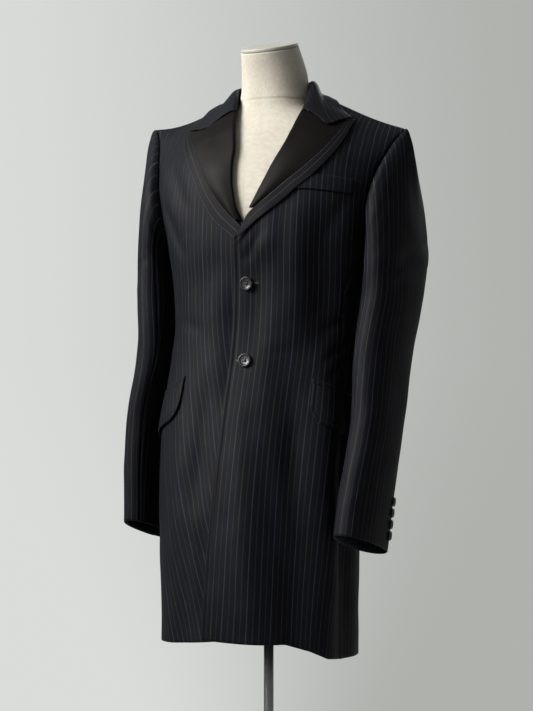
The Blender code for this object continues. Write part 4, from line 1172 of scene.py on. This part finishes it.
# %% [markdown]
# ## Buttons
# The front buttons are 21 mm across, turned from dark resin, with a raised rim round a sunk middle
# and four holes. Two bars of thread cross between the holes. The cuff buttons are the same, 15 mm
# across. A button is a stack of rings that follows the turned profile, pushed in at the holes, and a
# thread is a stack of small rings. Round each front button shows its buttonhole, edged with two
# rounds of thread.


# %% Plain finishes, resin and thread
def mottled(name, dark, light, grain, **inputs):
    """A finish mottled between two close colours, in spots of grain metres, with the spots' node."""
    made, tree, shader = new_finish(name)
    spot = node(tree, "TexCoord").outputs["Object"]
    cloud = node(tree, "TexNoise", {"Vector": spot, "Scale": 1.0 / grain, "Detail": 3.0})
    share = node(tree, "MapRange", {0: cloud, 1: 0.3, 2: 0.7})
    colour = node(tree, "Mix", {0: share, 6: linear(dark), 7: linear(light)}, **COLOURS)
    feed(shader, {"Base Color": colour.outputs[2], **inputs})
    return made, tree, shader, cloud


def plain(name, dark, light, roughness, grain, **inputs):
    """A mottled finish whose gloss is as uneven as its colour."""
    made, tree, shader, cloud = mottled(name, dark, light, grain, **inputs)
    gloss = node(tree, "MapRange", {0: cloud, 1: 0.3, 2: 0.7, 3: roughness - 0.04, 4: roughness + 0.04})
    feed(shader, {"Roughness": gloss})
    return made


RESIN = plain("polished_resin", "#141517", "#26272a", 0.30, 0.004, IOR=1.52)
THREAD = plain("polished_cotton_thread", "#101114", "#22232a", 0.50, 0.0006)


# %% Stacks of rings
def stacked(name, stacks, material, cut=None):
    """One mesh of closed round solids, each a stack of rings with a fan on both ends."""
    points = np.empty((0, 3))
    faces = []
    for rings in stacks:
        rings = np.asarray(rings, float)
        count, around = rings.shape[:2]
        low = len(points) + count * around
        index = np.arange(len(points), low).reshape(count, around)
        following = np.roll(index, -1, axis=1)
        quads = np.stack([index[:-1], following[:-1], following[1:], index[1:]], -1)
        faces += quads.reshape(-1, 4).tolist()
        faces += [(low, b, a) for a, b in zip(index[0], following[0])]
        faces += [(low + 1, a, b) for a, b in zip(index[-1], following[-1])]
        points = np.concatenate([points, rings.reshape(-1, 3), rings[[0, -1]].mean(1)])
    return add_mesh(name, points, faces, material, cut)


THREAD_SIDES = 6
OFF_AXIS = (0.31, 0.17, 0.93)


def threads(name, lines, radius):
    """Round threads along lines of points, as one piece."""
    angle = np.arange(THREAD_SIDES) * 2 * math.pi / THREAD_SIDES
    stacks = []
    for line in lines:
        tangent = unit(np.gradient(line, axis=0))
        first = unit(np.cross(tangent, OFF_AXIS))
        second = np.cross(tangent, first)
        ring = np.cos(angle)[:, None] * first[:, None] + np.sin(angle)[:, None] * second[:, None]
        stacks.append(line[:, None] + radius * ring)
    piece = stacked(name, stacks, THREAD)
    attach(piece, "root")


# %% The button
# share of the radius and share of the thickness
FACE = [(0.0, 0.50), (0.40, 0.50), (0.62, 0.58), (0.74, 0.78), (0.84, 1.0), (0.93, 0.95), (1.0, 0.60)]
FACE_SHARES = np.concatenate([np.linspace(0.04, 0.62, 24), np.linspace(0.66, 1.0, 14)])
BUTTON_SIDES = 72
HOLE_AT = 0.208
HOLE = 0.095
HOLE_DEEP = 0.42


def button(name, centre, normal, radius, thick, back_radius):
    first = unit(np.cross((0, 0, 1), normal))
    second = np.cross(normal, first)
    angle = np.arange(BUTTON_SIDES) * 2 * math.pi / BUTTON_SIDES
    px, py = np.cos(angle)[:, None], np.sin(angle)[:, None]
    rings = []
    for share in FACE_SHARES:
        away = np.hypot(np.abs(share * px) - HOLE_AT, np.abs(share * py) - HOLE_AT)
        sunk = HOLE_DEEP * smoothstep((HOLE * 1.35 - away) / (HOLE * 0.5))
        height = thick * (float(smooth(FACE, share)) - sunk)
        rings.append(centre + radius * share * (px * first + py * second) + height * normal)
    for share, height in ((1.0, 0.22), (back_radius + 0.02, 0.0), (back_radius - 0.3, 0.0)):
        rings.append(centre + radius * share * (px * first + py * second) + thick * height * normal)
    declare(stacked("resin_" + name, [rings[::-1]], RESIN), name)

    t = np.linspace(0, 1, 9)[:, None]
    lines = []
    for k, slope in enumerate((1, -1)):
        over = radius * HOLE_AT * (2 * t - 1) * (first + slope * second)
        rise = thick * (0.44 + 0.24 * np.sin(t * math.pi) ** 0.5 + 0.05 * k)
        lines.append(centre + over + rise * normal)
    threads("thread_" + name, lines, radius * 0.055)


# %% Front and cuff buttons
for name, x, z in (("button_1", 0.0130, 1.1410), ("button_2", 0.0130, 1.0220)):
    distance, level = place(1, x, z)
    centre, normal = body(1, distance, level, lap(1, distance, level) + 0.0016)
    button(name, centre, normal, 0.0105, 0.0042, 0.90)
HOLES = (("buttonhole_1", 1.1410, 0.0070, 0.0300), ("buttonhole_2", 1.0220, -0.0015, 0.0220))
for name, z, first, last in HOLES:
    turn = np.linspace(0, 2 * math.pi, 60)
    middle, half = (first + last) / 2, (last - first) / 2
    lines = []
    for rise in (0.0006, 0.0013):
        x = middle + (half + rise) * np.sign(np.cos(turn)) * np.abs(np.cos(turn)) ** 0.4
        distance, level = place(1, x, z + rise * np.sin(turn))
        lines.append(body(1, distance, level, lap(1, distance, level) + 0.0003)[0])
    threads(name, lines, 0.00042)
for side, hand in HAND.items():
    for k in range(4):
        down = 2.0 - (0.020 + 0.0155 * k) / (SLEEVE_TOP - CUFF)
        centre, normal, _, _ = sleeve_points(side, SLEEVE_BACK_SEAM + 20.0, down, 0.0006)
        button("cuff_button_%s_%d" % (hand, k + 1), centre, normal, 0.0073, 0.0030, 0.70)

# %% [markdown]
# ## The form
# The form is a hard shell with wadding and a tight cover of unbleached linen. The cover is sewn from
# gores, so seams run down its sides and back, and one goes round the foot of the neck. Linen
# is a plain weave of uneven threads, about 1 mm apart here so that it shows.


# %% Linen and the form
LINEN_EVERY = 0.0011


def make_linen():
    linen, tree, shader = new_finish("unbleached_linen")
    spot = node(tree, "TexCoord").outputs["Object"]
    wear = node(tree, "TexNoise", {"Vector": spot, "Scale": 100.0, "Detail": 3.0})
    gloss = node(tree, "MapRange", {0: wear, 1: 0.3, 2: 0.7, 3: 0.81, 4: 0.89})
    cut = node(tree, "UVMap", uv_map="cut")
    split = node(tree, "SeparateXYZ", {0: cut})
    warp, weft = [ribs(tree, split.outputs[k], LINEN_EVERY) for k in (0, 1)]
    weave = node(tree, "Math", {0: warp, 1: weft}, operation="MULTIPLY")
    slub = node(tree, "TexNoise", {"Vector": cut, "Scale": 160.0, "Detail": 3.0})
    cloud = node(tree, "TexNoise", {"Vector": cut, "Scale": 12.0, "Detail": 3.0})
    tone = node(tree, "Math", {0: weave, 1: 0.10, 2: slub}, operation="MULTIPLY_ADD")
    tone = node(tree, "Math", {0: tone, 1: cloud}, operation="ADD")
    tone = node(tree, "MapRange", {0: tone, 1: 0.7, 2: 1.3})
    colour = node(tree, "Mix", {0: tone, 6: linear("#989286"), 7: linear("#aaa59a")}, **COLOURS)
    height = node(tree, "Math", {0: weave, 1: 0.5, 2: slub}, operation="MULTIPLY_ADD")
    relief = node(tree, "Bump", {"Strength": 0.25, "Distance": 0.0004, "Height": height})
    feed(shader, {"Base Color": colour.outputs[2], "Normal": relief, "Roughness": gloss})
    return linen


LINEN = make_linen()
# height, half width, x and y of the middle, depth to front and back
FORM = np.array([
    [0.745, 0.124, -0.006, -0.012, 0.092, 0.098],
    [0.760, 0.132, -0.006, -0.012, 0.098, 0.104],
    [0.850, 0.137, -0.006, -0.012, 0.100, 0.106],
    [0.940, 0.134, -0.005, -0.010, 0.093, 0.099],
    [1.070, 0.126, 0.001, -0.003, 0.080, 0.080],
    [1.140, 0.132, 0.003, 0.001, 0.095, 0.082],
    [1.215, 0.143, 0.004, 0.005, 0.1080, 0.088],
    [1.280, 0.147, 0.004, 0.010, 0.1075, 0.090],
    [1.340, 0.143, 0.004, 0.014, 0.0950, 0.080],
    [1.380, 0.122, 0.004, 0.016, 0.0750, 0.056],
    [1.405, 0.092, 0.0045, 0.016, 0.0590, 0.046],
    [1.425, 0.0635, 0.005, 0.017, 0.0530, 0.044],
    [1.445, 0.0575, 0.005, 0.016, 0.0505, 0.043],
    [1.480, 0.0535, 0.0055, 0.011, 0.0480, 0.044],
    [1.519, 0.0464, 0.004, -0.004, 0.0430, 0.043],
])
FORM_FOOT = 0.745
FORM_TOP = 1.519
NECK_SEAM = 1.436
NECK_SLANT = 0.245
GORE_SEAMS = (90.0, 142.0, 180.0, 218.0, 270.0)  # degrees round from the front; the back's runs to the top


def form_points(height, angle, out=0.0):
    half_w, mid_x, mid_y, front, back = np.moveaxis(smooth(FORM, height), -1, 0)
    squareness = 2.05 + 0.35 * smoothstep((1.41 - height) / 0.03)
    s, c = np.sin(angle), np.cos(angle)
    y = mid_y - (np.where(c > 0, front, back) + out) * power(c, squareness)
    x = mid_x + (half_w + out) * power(s, squareness)
    tilt = np.maximum(0.0, height - 1.445) / 0.06
    return np.stack([x, y, height + tilt * NECK_SLANT * (y - mid_y)], -1)


def make_form():
    heights = np.concatenate([np.linspace(FORM_FOOT, 1.40, 110), np.linspace(1.40, FORM_TOP, 60)[1:]])
    angles = np.linspace(0, 2 * math.pi, 360, endpoint=False)
    height, angle = np.meshgrid(heights, angles, indexing="ij")
    turn = np.degrees(angle)
    sunk = 0.0010 * bell(height - NECK_SEAM, 0.0010) - 0.0004 * bell(height - NECK_SEAM - 0.0030, 0.0018)
    for seam in GORE_SEAMS:
        ends = FORM_TOP + 1.0 if seam == 180.0 else NECK_SEAM
        sunk = sunk + 0.0009 * bell(np.radians(turn - seam) * 0.06, 0.0009) * (height < ends)
    points = form_points(height, angle, -sunk)
    cut = np.stack([angle * 0.09, height], -1).reshape(-1, 2)
    piece = stacked("linen_form", [points], LINEN, np.concatenate([cut, np.zeros((2, 2))]))
    declare(piece, "form")
    print("form height", round(float(heights[-1] - heights[0]), 3), "m")


make_form()

# %% [markdown]
# ## Neck cap, pole and base
# The neck is closed by a turned, painted plate. The pole is steel tube with a brushed finish, and
# stands in a collar on a flat round base. The photograph ends above the base, so the base here is
# the plainest one that a shop stand has.


# %% Cap, pole and base
def make_brushed(name, dark, light, roughness, along):
    steel, tree, shader, _ = mottled(name, dark, light, 0.006, Metallic=1.0)
    spot = node(tree, "TexCoord").outputs["Object"]
    drawn = node(tree, "Mapping", {0: spot, 3: along})
    scratch = node(tree, "TexNoise", {"Vector": drawn, "Scale": 60.0, "Detail": 4.0})
    rough = node(tree, "MapRange", {0: scratch, 1: 0.3, 2: 0.7, 3: roughness - 0.07, 4: roughness + 0.09})
    relief = node(tree, "Bump", {"Strength": 0.08, "Distance": 0.0002, "Height": scratch})
    feed(shader, {"Roughness": rough, "Normal": relief})
    return steel


def turned(name, node_name, profile, material):
    angle = np.arange(96) * 2 * math.pi / 96
    rings = [[(r * math.cos(a), r * math.sin(a), z) for a in angle] for r, z in profile]
    declare(stacked(name, [rings], material), node_name)


def rounded(profile, count=5):
    """Cuts each inner corner of a profile into a small smooth curve."""
    made = [profile[0]]
    for a, b, c in zip(profile[:-2], profile[1:-1], profile[2:]):
        a, b, c = np.array(a), np.array(b), np.array(c)
        p, q = b + (a - b) * 0.4, b + (c - b) * 0.4
        for t in np.linspace(0, 1, count):
            made.append(tuple((1 - t) ** 2 * p + 2 * t * (1 - t) * b + t * t * q))
    return made + [profile[-1]]


# share of the neck's radius, and height over its top
CAP = [(0.96, 0.0004), (0.99, 0.0008), (1.00, 0.0020), (1.00, 0.0048), (0.985, 0.0060), (0.93, 0.0066), (0.45, 0.0070)]
BASE = [(0.147, 0.0), (0.150, 0.003), (0.150, 0.009), (0.147, 0.012), (0.022, 0.013), (0.018, 0.016), (0.016, 0.0337)]
TUBE = [(0.0078, 0.0340), (0.0078, 0.40), (0.0078, 0.7447)]


def make_cap():
    angle = np.arange(120) * 2 * math.pi / 120
    top = form_points(np.full(120, FORM_TOP), angle)
    middle = top.mean(0)
    up = unit(np.cross(top[30] - middle, top[0] - middle))
    up = up * np.sign(up[2])
    rings = [middle + (top - middle) * s + up * h for s, h in rounded(CAP)]
    paint = plain("satin_paint", "#8c8b83", "#95948c", 0.50, 0.012)
    declare(stacked("painted_cap", [rings], paint), "neck_cap")


make_cap()
POLE = make_brushed("brushed_steel_tube", "#7d7f80", "#8b8d8d", 0.36, (1.0, 1.0, 0.02))
PLATE = make_brushed("ground_steel_plate", "#6a6c70", "#787a7d", 0.42, (1.0, 1.0, 1.0))
turned("steel_pole", "pole", TUBE, POLE)
turned("steel_base", "base", rounded(BASE), PLATE)
